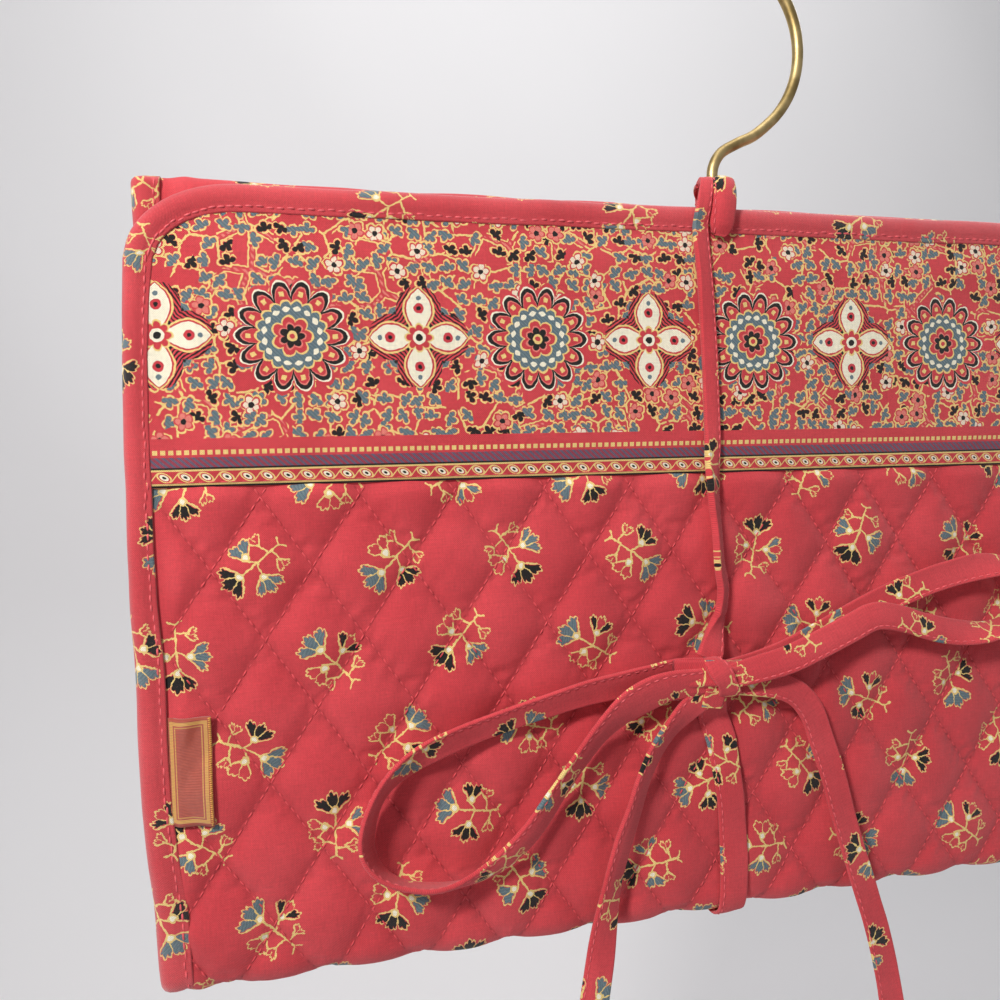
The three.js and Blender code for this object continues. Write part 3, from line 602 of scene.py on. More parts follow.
    col = k.mix(k.m("LESS_THAN", Y, 29.4), col, ground)
    sq = k.m("MULTIPLY", band(25.9, 26.9), k.m("GREATER_THAN", k.m("FRACT", k.m("DIVIDE", X, 1.62)), 0.36))
    col = k.mix(sq, col, YELLOW)
    twill = k.m("GREATER_THAN", k.m("SINE", k.m("ADD", k.m("MULTIPLY", X, 4.1), k.m("MULTIPLY", Y, 4.6))), 0.1)
    col = k.mix(band(23.15, 25.35), col, k.mix(twill, rgba(150, 62, 78), rgba(96, 92, 112)))
    col = k.mix(band(22.75, 23.15), col, BLACK)
    # chain of small ovals
    col = k.mix(band(19.35, 22.75), col, YELLOW)
    col = k.mix(band(19.75, 22.35), col, RED)
    cx = k.m("MULTIPLY", k.m("SUBTRACT", k.m("FRACT", k.m("DIVIDE", X, 4.3)), 0.5), 4.3)
    cy = k.m("SUBTRACT", Y, 21.05)
    ov = k.turn(k.join(cx, cy), 0.5)
    ox, oy, _ = k.split(ov)
    od = k.m("SUBTRACT", 1.0, k.vm("LENGTH", k.join(k.m("DIVIDE", ox, 1.75), k.m("DIVIDE", oy, 0.95))))
    col = k.mix(k.m("GREATER_THAN", od, 0.0), col, YELLOW)
    col = k.mix(k.m("GREATER_THAN", od, 0.24), col, RED)
    col = k.mix(k.m("GREATER_THAN", od, 0.42), col, CREAM)
    col = k.mix(k.m("GREATER_THAN", od, 0.74), col, BLACK)
    tw = k.m("LESS_THAN", k.m("ABSOLUTE", k.m("SUBTRACT", cy, k.m("MULTIPLY", k.m("SINE", k.m("MULTIPLY", X, 2 * PI / 4.3)), 0.95))), 0.2)
    col = k.mix(k.m("MULTIPLY", tw, k.m("MULTIPLY", band(19.9, 22.2), k.m("LESS_THAN", od, 0.0))), col, YELLOW)
    col = k.mix(k.m("LESS_THAN", Y, 19.35), col, BLACK)
    col = k.mix(k.m("LESS_THAN", Y, 18.9), col, ground)
    k.put(out, col)
    return k.t


def dots_group():
    """Small staggered dots of the lining."""
    k, V, ground, out = group("dots")
    a = k.vm("DIVIDE", V, (7.0, 7.0, 1.0))
    x, y, _ = k.split(a)
    row = k.m("FLOOR", y)
    x = k.m("ADD", x, k.m("MULTIPLY", k.m("FRACT", k.m("MULTIPLY", row, 0.5)), 1.0))
    fx = k.m("MULTIPLY", k.m("SUBTRACT", k.m("FRACT", x), 0.5), 7.0)
    fy = k.m("MULTIPLY", k.m("SUBTRACT", k.m("FRACT", y), 0.5), 7.0)
    d, r = k.petals(k.join(fx, fy), 1.1, 4, 0.5, 0.8)
    col = k.over(ground, d, 0.5, YELLOW, CREAM)
    k.put(out, col)
    return k.t


GROUPS = {}


def fabric(name, ground=RED, print_group=None, seams=False, worn=0.0, rough=0.86, pitch=0.46, offset=(0.0, 0.0, 0.0), turn=0.0, scale=1.0, sheen=0.16, bump=0.7, diagonal=False):
    """Woven cotton: threads both ways, a little unevenness, an optional print, and optional painted shade along the
    quilting's seams.
    """
    mat = bpy.data.materials.new(name)
    mat.use_nodes = True
    k = Nodes(mat.node_tree)
    b = mat.node_tree.nodes["Principled BSDF"]
    V = k.cloth()
    VP = V
    if turn:
        VP = k.turn(VP, turn)
    if scale != 1.0:
        VP = k.vm("SCALE", VP, scale=scale)
    VP = k.vm("ADD", VP, offset)
    x, y, _ = k.split(V)
    big = k.noise(V, 0.035, 3.0, 0.55)
    warm = k.mix(k.smooth(big, 0.35, 0.7), ground, tuple(min(1, c * f) for c, f in zip(ground, (1.16, 1.3, 1.24))) + (1.0,) if len(ground) == 3 else (min(1, ground[0] * 1.14), min(1, ground[1] * 1.35), min(1, ground[2] * 1.3), 1.0))
    col = warm
    if print_group:
        if print_group not in GROUPS:
            GROUPS[print_group] = {"sprigs": sprig_group, "border": border_group, "dots": dots_group}[print_group]()
        g = k.node("ShaderNodeGroup")
        g.node_tree = GROUPS[print_group]
        k.put(g.inputs[0], VP)
        k.put(g.inputs[1], warm)
        col = g.outputs[0]
    # threads
    w = 2 * PI / pitch
    if diagonal:
        x, y = k.m("ADD", x, y), k.m("SUBTRACT", x, y)
    sx, sy = k.m("SINE", k.m("MULTIPLY", x, w)), k.m("SINE", k.m("MULTIPLY", y, w))
    weave = k.m("MULTIPLY", sx, sy)
    slub = k.noise(k.vm("MULTIPLY", V, (0.25, 3.2, 1.0)), 1.0, 2.0)
    slub2 = k.noise(k.vm("MULTIPLY", V, (3.2, 0.25, 1.0)), 1.0, 2.0)
    grain = k.noise(V, 1.7, 2.0, 0.7)
    tone = k.m("ADD", k.m("MULTIPLY", k.m("ADD", slub, slub2), 0.3), k.m("MULTIPLY_ADD", weave, 0.2, k.m("MULTIPLY_ADD", grain, 0.34, 0.51)))
    col = k.mix(1.0, col, k.join(tone, tone, tone), "MULTIPLY")
    if seams:
        # painted shade: the cloth is darkened along the quilting's creases, where shade falls, and at each hole of the
        # thread
        lx, lv, _ = k.split(V)
        la = k.m("DIVIDE", k.m("SUBTRACT", lx, -131.03), 10.875)
        lb = k.m("DIVIDE", k.m("SUBTRACT", 0.28, lv), 16.1)
        shade = None
        for op, run in (("ADD", "SUBTRACT"), ("SUBTRACT", "ADD")):
            i = k.m("MULTIPLY", k.m(op, la, lb), 0.5)
            d = k.m("MULTIPLY", k.m("ABSOLUTE", k.m("SUBTRACT", i, k.m("ROUND", i))), 18.02)
            # painted shade: a narrow dark line in the seam's groove
            g = k.m("SUBTRACT", 1.0, k.smooth(d, 0.05, 0.42))
            # painted shade: a faint darkening that spreads 2.2 mm either side of the seam
            soft = k.m("SUBTRACT", 1.0, k.smooth(d, 0.0, 2.2))
            along = k.m("MULTIPLY", k.m(run, la, lb), 19.43 * 0.5)
            # painted shade at each stitch hole, every 2.2 mm along the seam
            stitch_hole_shade = k.m("MULTIPLY_ADD", k.m("COSINE", k.m("MULTIPLY", along, 2 * PI / 2.2)), 0.5, 0.5)
            q = k.m("MULTIPLY_ADD", g, k.m("MULTIPLY_ADD", k.m("POWER", stitch_hole_shade, 2.0), 0.24, 0.02), k.m("MULTIPLY", soft, 0.09))
            shade = q if shade is None else k.m("MAXIMUM", shade, q)
        # the painted seam shade is laid only below the height given by seams
        shade = k.m("MULTIPLY", shade, k.m("LESS_THAN", lv, seams))
        dim = k.m("SUBTRACT", 1.0, shade)
        col = k.mix(1.0, col, k.join(dim, dim, dim), "MULTIPLY")
    # the finest fuzz lightens the print a little
    fuzz = k.noise(V, 2.6, 3.0, 0.7)
    col = k.mix(k.m("MULTIPLY", k.smooth(fuzz, 0.55, 0.8), 0.16 + 0.2 * worn), col, rgba(236, 150, 140))
    k.put(b.inputs["Base Color"], col)
    k.put(b.inputs["Roughness"], k.m("MULTIPLY_ADD", fuzz, 0.12, rough - 0.06))
    b.inputs["Sheen Weight"].default_value = sheen
    b.inputs["Sheen Roughness"].default_value = 0.5
    b.inputs["Specular IOR Level"].default_value = 0.22
    h = k.m("ADD", k.m("MULTIPLY", weave, 0.5), k.m("MULTIPLY", fuzz, 0.9))
    n = k.node("ShaderNodeBump")
    n.inputs["Strength"].default_value = bump
    n.inputs["Distance"].default_value = 0.00012
    k.put(n.inputs["Height"], h)
    k.put(b.inputs["Normal"], n.outputs[0])
    return mat


def object_mm(k):
    return k.vm("SCALE", k.node("ShaderNodeTexCoord").outputs["Object"], scale=1000.0)


def simple(name, colour, rough, metal=0.0, variation=0.15, scale=0.4, bump=0.2, bump_scale=3.0, distance=0.00008, alpha=None, coat=0.0, dark=None):
    """A moulded, metal or thread material with uneven tone and a fine surface."""
    mat = bpy.data.materials.new(name)
    mat.use_nodes = True
    k = Nodes(mat.node_tree)
    b = mat.node_tree.nodes["Principled BSDF"]
    V = object_mm(k)
    n1 = k.noise(V, scale, 3.0, 0.6)
    lo = dark or tuple(c * (1 - variation) for c in colour[:3]) + (1.0,)
    hi = tuple(min(1.0, c * (1 + variation)) for c in colour[:3]) + (1.0,)
    k.put(b.inputs["Base Color"], k.mix(k.smooth(n1, 0.3, 0.7), lo, hi))
    n2 = k.noise(V, bump_scale, 3.0, 0.6)
    k.put(b.inputs["Roughness"], k.m("MULTIPLY_ADD", n2, 0.2, rough - 0.1, clamp=True))
    b.inputs["Metallic"].default_value = metal
    b.inputs["Coat Weight"].default_value = coat
    if alpha is not None:
        b.inputs["Alpha"].default_value = alpha
    bp = k.node("ShaderNodeBump")
    bp.inputs["Strength"].default_value = bump
    bp.inputs["Distance"].default_value = distance
    k.put(bp.inputs["Height"], n2)
    k.put(b.inputs["Normal"], bp.outputs[0])
    return mat


# seams: the height below which painted shade darkens the quilting's creases and stitch holes
M_FIELD = fabric("quilted_cotton_print", RED, "sprigs", seams=18.5)
M_FIELD_BACK = fabric("quilted_cotton_print_back", RED, "sprigs", seams=76.5, offset=(11.0, 5.0, 0.0))
M_BORDER = fabric("border_cotton_print", RED, "border")
M_BINDING = fabric("binding_cotton_print", RED, "sprigs", offset=(7.0, 19.0, 0.0), turn=0.28, sheen=0.4, worn=0.9)
M_TIE = fabric("tie_cotton_print", RED, "sprigs", offset=(3.0, 12.0, 0.0), turn=-0.35)
M_LINING = fabric("lining_cotton", rgba(178, 40, 52), "dots")
M_TAPE = fabric("zip_tape_weave", rgba(128, 26, 36), None, pitch=0.7, diagonal=True, sheen=0.1)
M_WADDING = fabric("cotton_wadding", rgba(236, 230, 216), None, pitch=1.7, bump=1.0)
M_LABEL = bpy.data.materials.new("woven_label_cloth")
M_STITCH = simple("quilting_thread", rgba(212, 74, 80), 0.6, variation=0.12, scale=0.8, bump=0.5, bump_scale=6.0)
M_STITCH_PINK = simple("edge_thread", rgba(222, 92, 98), 0.6, variation=0.14, scale=0.8, bump=0.5, bump_scale=6.0)
M_GOLD_THREAD = simple("gold_thread", rgba(206, 150, 70), 0.45, variation=0.2, scale=1.5, bump=0.4, bump_scale=6.0)
M_WIRE = simple("antique_brass_wire", rgba(208, 184, 132), 0.47, metal=1.0, variation=0.15, scale=0.12, bump=0.12, bump_scale=0.8, distance=0.0002, dark=rgba(158, 134, 84))
M_ZIPMETAL = simple("zip_brass", rgba(196, 160, 92), 0.28, metal=1.0, variation=0.12, scale=0.5, bump=0.15, bump_scale=1.5)
M_COIL = simple("zip_coil_nylon", rgba(110, 24, 34), 0.38, variation=0.1, scale=1.0, bump=0.1)
M_TIP = simple("white_vinyl_tip", rgba(236, 230, 216), 0.42, variation=0.05, scale=0.2, bump=0.1)
M_VINYL = simple("clear_vinyl", rgba(232, 238, 240), 0.12, variation=0.03, scale=0.05, bump=0.25, bump_scale=0.12, distance=0.0008, alpha=0.14, coat=0.5)


def build_label_material():
    mat = M_LABEL
    mat.use_nodes = True
    k = Nodes(mat.node_tree)
    b = mat.node_tree.nodes["Principled BSDF"]
    V = k.cloth()
    x, y, _ = k.split(V)  # x across 0..9.6, y along 0..24.4
    ex = k.m("SUBTRACT", 4.8, k.m("ABSOLUTE", k.m("SUBTRACT", x, 4.8)))
    ey = k.m("SUBTRACT", 12.2, k.m("ABSOLUTE", k.m("SUBTRACT", y, 12.2)))
    e = k.m("MINIMUM", ex, ey)
    line = k.m("MULTIPLY", k.m("GREATER_THAN", e, 0.8), k.m("LESS_THAN", e, 1.6))
    line2 = k.m("MULTIPLY", k.m("GREATER_THAN", e, 1.9), k.m("LESS_THAN", e, 2.15))
    gold = k.m("MAXIMUM", line, line2)
    rib = k.m("SINE", k.m("MULTIPLY", y, 2 * PI / 0.34))
    base = k.mix(k.noise(V, 0.9, 3.0), rgba(158, 58, 42), rgba(184, 80, 56))
    col = k.mix(gold, base, rgba(208, 152, 74))
    t = k.m("MULTIPLY_ADD", rib, 0.09, 0.95)
    col = k.mix(1.0, col, k.join(t, t, t), "MULTIPLY")
    k.put(b.inputs["Base Color"], col)
    k.put(b.inputs["Roughness"], k.m("MULTIPLY_ADD", k.noise(V, 2.0), 0.2, 0.5))
    b.inputs["Sheen Weight"].default_value = 0.3
    bp = k.node("ShaderNodeBump")
    bp.inputs["Strength"].default_value = 0.6
    bp.inputs["Distance"].default_value = 0.00015
    k.put(bp.inputs["Height"], k.m("ADD", k.m("MULTIPLY", rib, 0.5), k.m("MULTIPLY", gold, 1.2)))
    k.put(b.inputs["Normal"], bp.outputs[0])


build_label_material()


# ================================================================ camera
cam = bpy.data.cameras.new("camera")
cam.sensor_width = 36.0
cam.lens = 28.8
cam.clip_start, cam.clip_end = 0.01, 20
camera = bpy.data.objects.new("camera", cam)
scene.collection.objects.link(camera)
right = Vector((0.97441, -0.22347, -0.02438))
down = Vector((-0.03349, -0.03708, -0.99875))
forward = Vector((0.22229, 0.97401, -0.04362))
rot = Matrix((right, -down, -forward)).transposed()
camera.matrix_world = Matrix.Translation(Vector((-107.81, -202.92, Z0 + 22.09)) * MM) @ rot.to_4x4()
scene.camera = camera


# ================================================================ stitches
def capsule(sides=6, rings=3):
    """A short thread from -0.5 to 0.5 along X, radius 1 across, sunk at both ends."""
    v, f = [], []
    prof = [(-0.5, 0.28), (-0.34, 0.86), (0.0, 1.0), (0.34, 0.86), (0.5, 0.28)]
    for t, r in prof:
        for s in range(sides):
            a = 2 * PI * s / sides
            v.append((t, r * math.cos(a), r * math.sin(a)))
    n = len(prof)
    for i in range(n - 1):
        for s in range(sides):
            q = (s + 1) % sides
            f.append([i * sides + s, i * sides + q, (i + 1) * sides + q, (i + 1) * sides + s])
    f.append(list(range(sides - 1, -1, -1)))
    f.append([(n - 1) * sides + s for s in range(sides)])
    return np.array(v), outward(np.array(v), f)


CAP_V, CAP_F = capsule()


def stitch_mesh(name, P, D, N, length, radius, mat):
    """One small thread at each point P, along D, lying on the surface with normal N."""
    P, D, N = (np.asarray(a, float) for a in (P, D, N))
    D = unit(D)
    S = unit(np.cross(N, D))
    N = np.cross(D, S)
    x = CAP_V[:, 0] * length
    bow = (0.25 - CAP_V[:, 0] ** 2) * 4 * 0.5 * radius - 0.35 * radius
    y = CAP_V[:, 1] * radius
    z = CAP_V[:, 2] * radius
    G = (
        P[:, None]
        + x[None, :, None] * D[:, None]
        + y[None, :, None] * S[:, None]
        + (z + bow)[None, :, None] * N[:, None]
    )
    n = len(CAP_V)
    F = []
    for i in range(len(P)):
        F.extend([[q + i * n for q in f] for f in CAP_F])
    return make(name, G.reshape(-1, 3), F, [mat])


# ================================================================ cotton tie
def ribbon_section(width, thick, seam=1):
    """Closed section of a strap folded in two: a rounded fold on one edge, and near the other the
    stitching pinches it."""
    us = np.array([-1, -0.985, -0.93, -0.84, -0.7, -0.5, -0.2, 0.2, 0.5, 0.66, 0.76, 0.86, 0.95, 1.0])
    hs = np.array([0.0, 0.62, 1.0, 1.04, 0.98, 0.94, 0.92, 0.92, 0.86, 0.7, 0.58, 0.78, 0.62, 0.25])
    us, hs = (us, hs) if seam > 0 else (-us[::-1], hs[::-1])
    top = np.stack([us * width / 2, hs * thick / 2], -1)
    under = np.stack([us[::-1] * width / 2, -hs[::-1] * thick / 2], -1)
    under = under[np.abs(under[:, 1]) > 1e-9]
    return np.concatenate([top, under])


def ribbon(name, points, facing, twist=0.0, width=7.5, thick=1.2, step=0.55, curl=0.0, seed=1, offset=0.0, wide=None, body=None, taper=None, mat=None, seam=1):
    """A flat cotton strap. facing: direction its face looks; twist(s) turns it round its line, in degrees, s from 0 to 1."""
    P, s = resample(points, step=step)
    t = s / s[-1]
    T = tangents(P)
    F = np.asarray(facing(t), float) if callable(facing) else np.broadcast_to(np.asarray(facing, float), P.shape)
    Nn = unit(F - (F * T).sum(-1, keepdims=True) * T)
    W = unit(np.cross(T, Nn))
    ang = np.radians(twist(t)) if callable(twist) else np.full(len(t), math.radians(twist))
    ang = ang + np.radians(5.0) * value_noise(s / 16.0, seed * 3.1, seed)
    c, d = np.cos(ang)[:, None], np.sin(ang)[:, None]
    W2, N2 = W * c + Nn * d, Nn * c - W * d
    base = ribbon_section(width, thick, seam)
    sec = np.repeat(base[None], len(P), 0)
    wob = 1 + 0.02 * value_noise(s / 7.0, 0.3, seed + 5)
    if wide is not None:
        wob = wob * wide(t)
    sec[..., 0] *= wob[:, None]
    k = curl * (1 + 0.5 * value_noise(s / 22.0, 0.7, seed + 9))
    sec[..., 1] += k[:, None] * (sec[..., 0] / (width / 2)) ** 2
    # the pinch between the stitches along both edges
    ripple = 0.09 * np.cos(2 * PI * s / 2.2)[:, None] * np.exp(-(((seam * sec[..., 0] / (width / 2)) - 0.76) / 0.16) ** 2)
    sec[..., 1] += ripple * np.sign(sec[..., 1] - k[:, None] * (sec[..., 0] / (width / 2)) ** 2 + 1e-9)
    if taper is not None:
        sec[..., 1] *= taper(t)[:, None]
    verts, faces = sweep(P, W2, N2, sec)
    faces = outward(verts, faces)
    u = sec[..., 0].reshape(-1)
    ss = np.repeat(s, sec.shape[1])
    o = make(name, verts, faces, [mat or M_TIE], cloth=np.stack([u + offset * 1.7, ss + offset], -1))
    # edge stitches on both faces
    pts, dirs, nrm = [], [], []
    for m in np.arange(1.1, s[-1] - 0.8, 2.2):
        i = int(np.clip(np.searchsorted(s, m), 1, len(s) - 1))
        for side in (seam,):
            for face in (-1, 1):
                uu = side * width / 2 * 0.76 * wob[i]
                kk = curl * (1 + 0.5 * float(value_noise(s[i] / 22.0, 0.7, seed + 9)))
                h = kk * (uu / (width / 2)) ** 2 + face * (0.58 * thick / 2 + 0.05)
                pts.append(P[i] + W2[i] * uu + N2[i] * h)
                dirs.append(T[i] + W2[i] * 0.06 * rng.standard_normal())
                nrm.append(N2[i] * face)
    st = stitch_mesh(name + "_stitches", pts, dirs, nrm, 1.5, 0.19, M_STITCH_PINK)
    if body:
        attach(o, body)
        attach(st, body)
    return o, st, P, s


BOW_Y = -25.4
KNOT = np.array([-15.5, BOW_Y, Z0 - 31.0])


def at(x, y, v):
    return (x, BOW_Y + y, Z0 + v)


LEFT_LOOP = [
    at(-17.5, 0.9, -29.2), at(-24.3, 1.2, -29.0), at(-30.8, 1.4, -30.1), at(-38.5, 1.5, -31.2), at(-47.0, 1.6, -32.4), at(-56.0, 1.7, -34.4), at(-66, 1.7, -36.8),
    at(-80.1, 1.5, -40.8), at(-90.1, 1.1, -45.0), at(-96.3, 0.6, -50.4), at(-99.6, 0.2, -57.6), at(-99.9, 0.0, -63.8), at(-96.8, -0.1, -69.2),
    at(-91.4, 0.0, -72.7), at(-84.2, 0.1, -74.3), at(-77.2, 0.2, -73.6), at(-69.4, 0.2, -70.4), at(-62.1, 0.1, -64.4),
    at(-54.6, 0.0, -54.6), at(-49.5, -0.1, -48.2), at(-44.4, -0.3, -42.2), at(-38.1, -0.5, -37.0), at(-31.7, -0.7, -33.9), at(-25.3, -0.8, -32.1), at(-18.2, -0.8, -31.4),
]
RIGHT_LOOP = [
    at(-12.0, 0.8, -30.4), at(-8.5, 1.2, -30.2), at(-1.5, 1.8, -29.3), at(7.0, 2.1, -27.2), at(15.9, 2.2, -23.6), at(24.7, 2.3, -19.7), at(32.2, 2.2, -16.5), at(42, 1.9, -13.0), at(53, 1.3, -9.8),
    at(64, 0.7, -8.0), at(73, 0.2, -8.6), at(78.6, 0, -12.4), at(79.2, -0.1, -18.0), at(74.6, -0.1, -22.6), at(66, -0.2, -25.0),
    at(56, -0.3, -24.8), at(46, -0.5, -22.6), at(38.5, -0.7, -20.0), at(30.4, -0.9, -18.8), at(22.9, -1.0, -21.5), at(14.1, -1.1, -24.9), at(5.5, -1.2, -27.9), at(-2.8, -1.2, -29.6), at(-12.0, -0.9, -31.2),
]
LEFT_TAIL = [
    at(-13.2, 0.2, -33.2), at(-15.9, 0.5, -35.3), at(-20.4, 0.8, -38.3), at(-24.9, 0.9, -42.2), at(-29.4, 0.9, -47.7), at(-33.1, 0.9, -55.0), at(-35.6, 0.8, -62.0), at(-38.3, 0.7, -68.9),
    at(-41.4, 0.5, -78.2), at(-43.6, 0.3, -87.6), at(-45.5, 0.1, -98.6), at(-47.6, 0, -111.0), at(-49.2, 0, -125.0), at(-50.0, 0, -138.0), at(-50.2, 0, -150.0),
]
RIGHT_TAIL = [
    at(-12.4, 1.0, -32.6), at(-8.4, 1.3, -33.2), at(-3.4, 1.6, -33.7), at(3.0, 1.9, -34.9), at(8.7, 2.0, -37.4), at(13.0, 1.9, -42.3), at(16.0, 1.8, -50.3), at(19.1, 1.5, -59.7), at(21.4, 1.2, -69.1), at(24.4, 0.8, -79.9),
    at(27.7, 0.4, -90.8), at(31.0, 0.1, -102.0), at(34.0, 0, -116.0), at(36.0, 0, -130.0), at(37.0, 0, -143.0),
]
FRONT = (0.0, -1.0, 0.0)


TIE = 7.0


def free_tie(name, points, body, far_end, lay, **kw):
    o, st, P, s = ribbon(name, points, FRONT, body=body, width=TIE, **kw)
    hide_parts(name.replace("_ribbon", ""))
    return P, s


bump_at = lambda t, c, w: np.exp(-(((t - c) / w) ** 2))
up = lambda t, a, b: smoothstep(a, b, t)
# in each loop the strap stands on edge in the bend and shows its other face on the way back
left_loop = free_tie("bow_loop_left_ribbon", LEFT_LOOP, "tie_bow", "object", "loose", seed=2, curl=0.3, thick=1.5,
    twist=lambda t: 16 + 14 * up(t, 0.08, 0.26) + 34 * up(t, 0.33, 0.44) + 44 * up(t, 0.46, 0.56) + 40 * up(t, 0.57, 0.68) - 6 * bump_at(t, 0.8, 0.08) + 14 * up(t, 0.84, 0.95),
    wide=lambda t: 1 - 0.1 * bump_at(t, 0, 0.05) + 0.4 * bump_at(t, 0.915, 0.05) - 0.12 * bump_at(t, 1, 0.03))
right_loop = free_tie("bow_loop_right_ribbon", RIGHT_LOOP, "front_flap", "object", "loose", seed=3, curl=0.3, offset=380.0,
    twist=lambda t: 14 + 46 * up(t, 0.36, 0.46) + 50 * up(t, 0.46, 0.56) + 52 * up(t, 0.56, 0.68),
    wide=lambda t: 1 - 0.15 * bump_at(t, 0, 0.05) - 0.15 * bump_at(t, 1, 0.05))
left_tail = free_tie("tie_tail_left_ribbon", LEFT_TAIL, "tie_bow", "bare", "hanging", seed=4, curl=-0.3, offset=77.0, thick=1.5,
    twist=lambda t: 8 + 30 * up(t, 0.03, 0.14) - 44 * up(t, 0.42, 0.62), wide=lambda t: 1 - 0.2 * bump_at(t, 0, 0.06))
right_tail = free_tie("tie_tail_right_ribbon", RIGHT_TAIL, "tie_bow", "bare", "hanging", seed=6, curl=0.3, offset=113.0, thick=1.3,
    twist=lambda t: 14 * bump_at(t, 0.12, 0.08) + 6 * bump_at(t, 0.45, 0.2), wide=lambda t: 1 - 0.2 * bump_at(t, 0, 0.06))


# ================================================================ quilted leaves
DX, DV = 1.0875, 1.61
X_NODE, V_NODE = -131.03, 0.28


def lattice(x, v):
    """Place in the quilting's diamonds: fractions along both stitching directions."""
    a = (np.asarray(x, float) - X_NODE) / 10.875
    b = (V_NODE - np.asarray(v, float)) / 16.1
    return (a + b) / 2, (a - b) / 2


def puff(x, v, height, seed):
    """Height of the wadded cloth over its seams."""
    i, j = lattice(x, v)
    fi, fj = i - np.floor(i), j - np.floor(j)
    h = (np.sin(PI * fi) * np.sin(PI * fj)) ** 0.62
    di = np.minimum(fi, 1 - fi) * 18.02
    dj = np.minimum(fj, 1 - fj) * 18.02
    si, sj = j * 19.43, i * 19.43
    # puckers that run off the stitching
    lam = 4.7
    pi_ = np.sin(2 * PI * si / lam + 2.6 * value_noise(si / 9, np.round(i) * 3.7, seed)) * np.exp(-di / 2.6)
    pj_ = np.sin(2 * PI * sj / lam + 2.6 * value_noise(sj / 9, np.round(j) * 5.3, seed + 1)) * np.exp(-dj / 2.6)
    amp = 0.17 * (1 + 0.8 * value_noise(x / 14, v / 14, seed + 2))
    rip = amp * (pi_ * smoothstep(0, 1.0, di) + pj_ * smoothstep(0, 1.0, dj))
    slow = 0.32 * value_noise(x / 11, v / 13, seed + 3) * h + 0.25 * value_noise(x / 38, v / 34, seed + 4)
    return height * h * (1 + 0.12 * value_noise(np.floor(i) * 1.7, np.floor(j) * 2.3, seed + 6)) + rip + slow


CELL = 40  # grid steps of the simulated cloth across one period of the lattice
NPX, NPV = 4, 3  # periods simulated


def simulate_quilting():
    """Cloth over wadding, sewn down along the lattice: a patch of it is blown up with Blender's
    cloth solver. Returns its sideways shifts and heights on a grid that starts at a lattice node."""
    sub = 20
    dx, dv = 21.75 / sub, 32.2 / sub
    nu, nv = NPX * sub + 1, NPV * sub + 1
    X, V = np.meshgrid(np.arange(nu) * dx, -np.arange(nv) * dv, indexing="ij")
    a, b = X / 10.875, -V / 16.1
    i, j = (a + b) / 2, (a - b) / 2
    pin = np.minimum(np.abs(i - np.round(i)), np.abs(j - np.round(j))) < 0.01
    pin[0], pin[-1], pin[:, 0], pin[:, -1] = True, True, True, True
    r = np.random.default_rng(5)
    h0 = 0.3 * np.abs(np.sin(PI * i) * np.sin(PI * j)) + 0.05 * r.standard_normal(X.shape)
    h0[pin] = 0
    unit_ = 10.0
    me = bpy.data.meshes.new("quilting_patch")
    me.from_pydata((np.stack([X, V, h0], -1).reshape(-1, 3) / unit_).tolist(), [], grid_quads(nu, nv, True).tolist())
    me.update()
    o = bpy.data.objects.new("quilting_patch", me)
    scene.collection.objects.link(o)
    g = o.vertex_groups.new(name="sewn")
    g.add(np.flatnonzero(pin.ravel()).tolist(), 1.0, "REPLACE")
    m = o.modifiers.new("cloth", "CLOTH")
    c = m.settings
    c.quality, c.mass, c.air_damping = 5, 0.3, 6.0
    c.tension_stiffness = c.compression_stiffness = 15
    c.shear_stiffness, c.bending_stiffness = 7.5, 0.35
    c.tension_damping = c.compression_damping = c.shear_damping = 5
    c.bending_damping = 0.5
    c.vertex_group_mass = "sewn"
    c.shrink_min = -0.05
    c.use_pressure, c.uniform_pressure_force = True, 3.4
    c.effector_weights.gravity = 0
    m.collision_settings.use_collision = False
    m.collision_settings.use_self_collision = False
    m.point_cache.frame_start, m.point_cache.frame_end = 1, 20
    for f in range(1, 21):
        scene.frame_set(f)
    ev = o.evaluated_get(bpy.context.evaluated_depsgraph_get())
    out = np.empty(nu * nv * 3, np.float32)
    ev.data.vertices.foreach_get("co", out)
    out = out.reshape(nu, nv, 3).astype(float) * unit_
    out[..., 0] -= X
    out[..., 1] -= V
    bpy.data.objects.remove(o, do_unlink=True)
    bpy.data.meshes.remove(me)
    scene.frame_set(1)
    print("quilting patch: highest", round(float(np.percentile(out[..., 2], 99)), 2), "mean", round(float(out[..., 2].mean()), 2))
    return out


SIM = simulate_quilting()


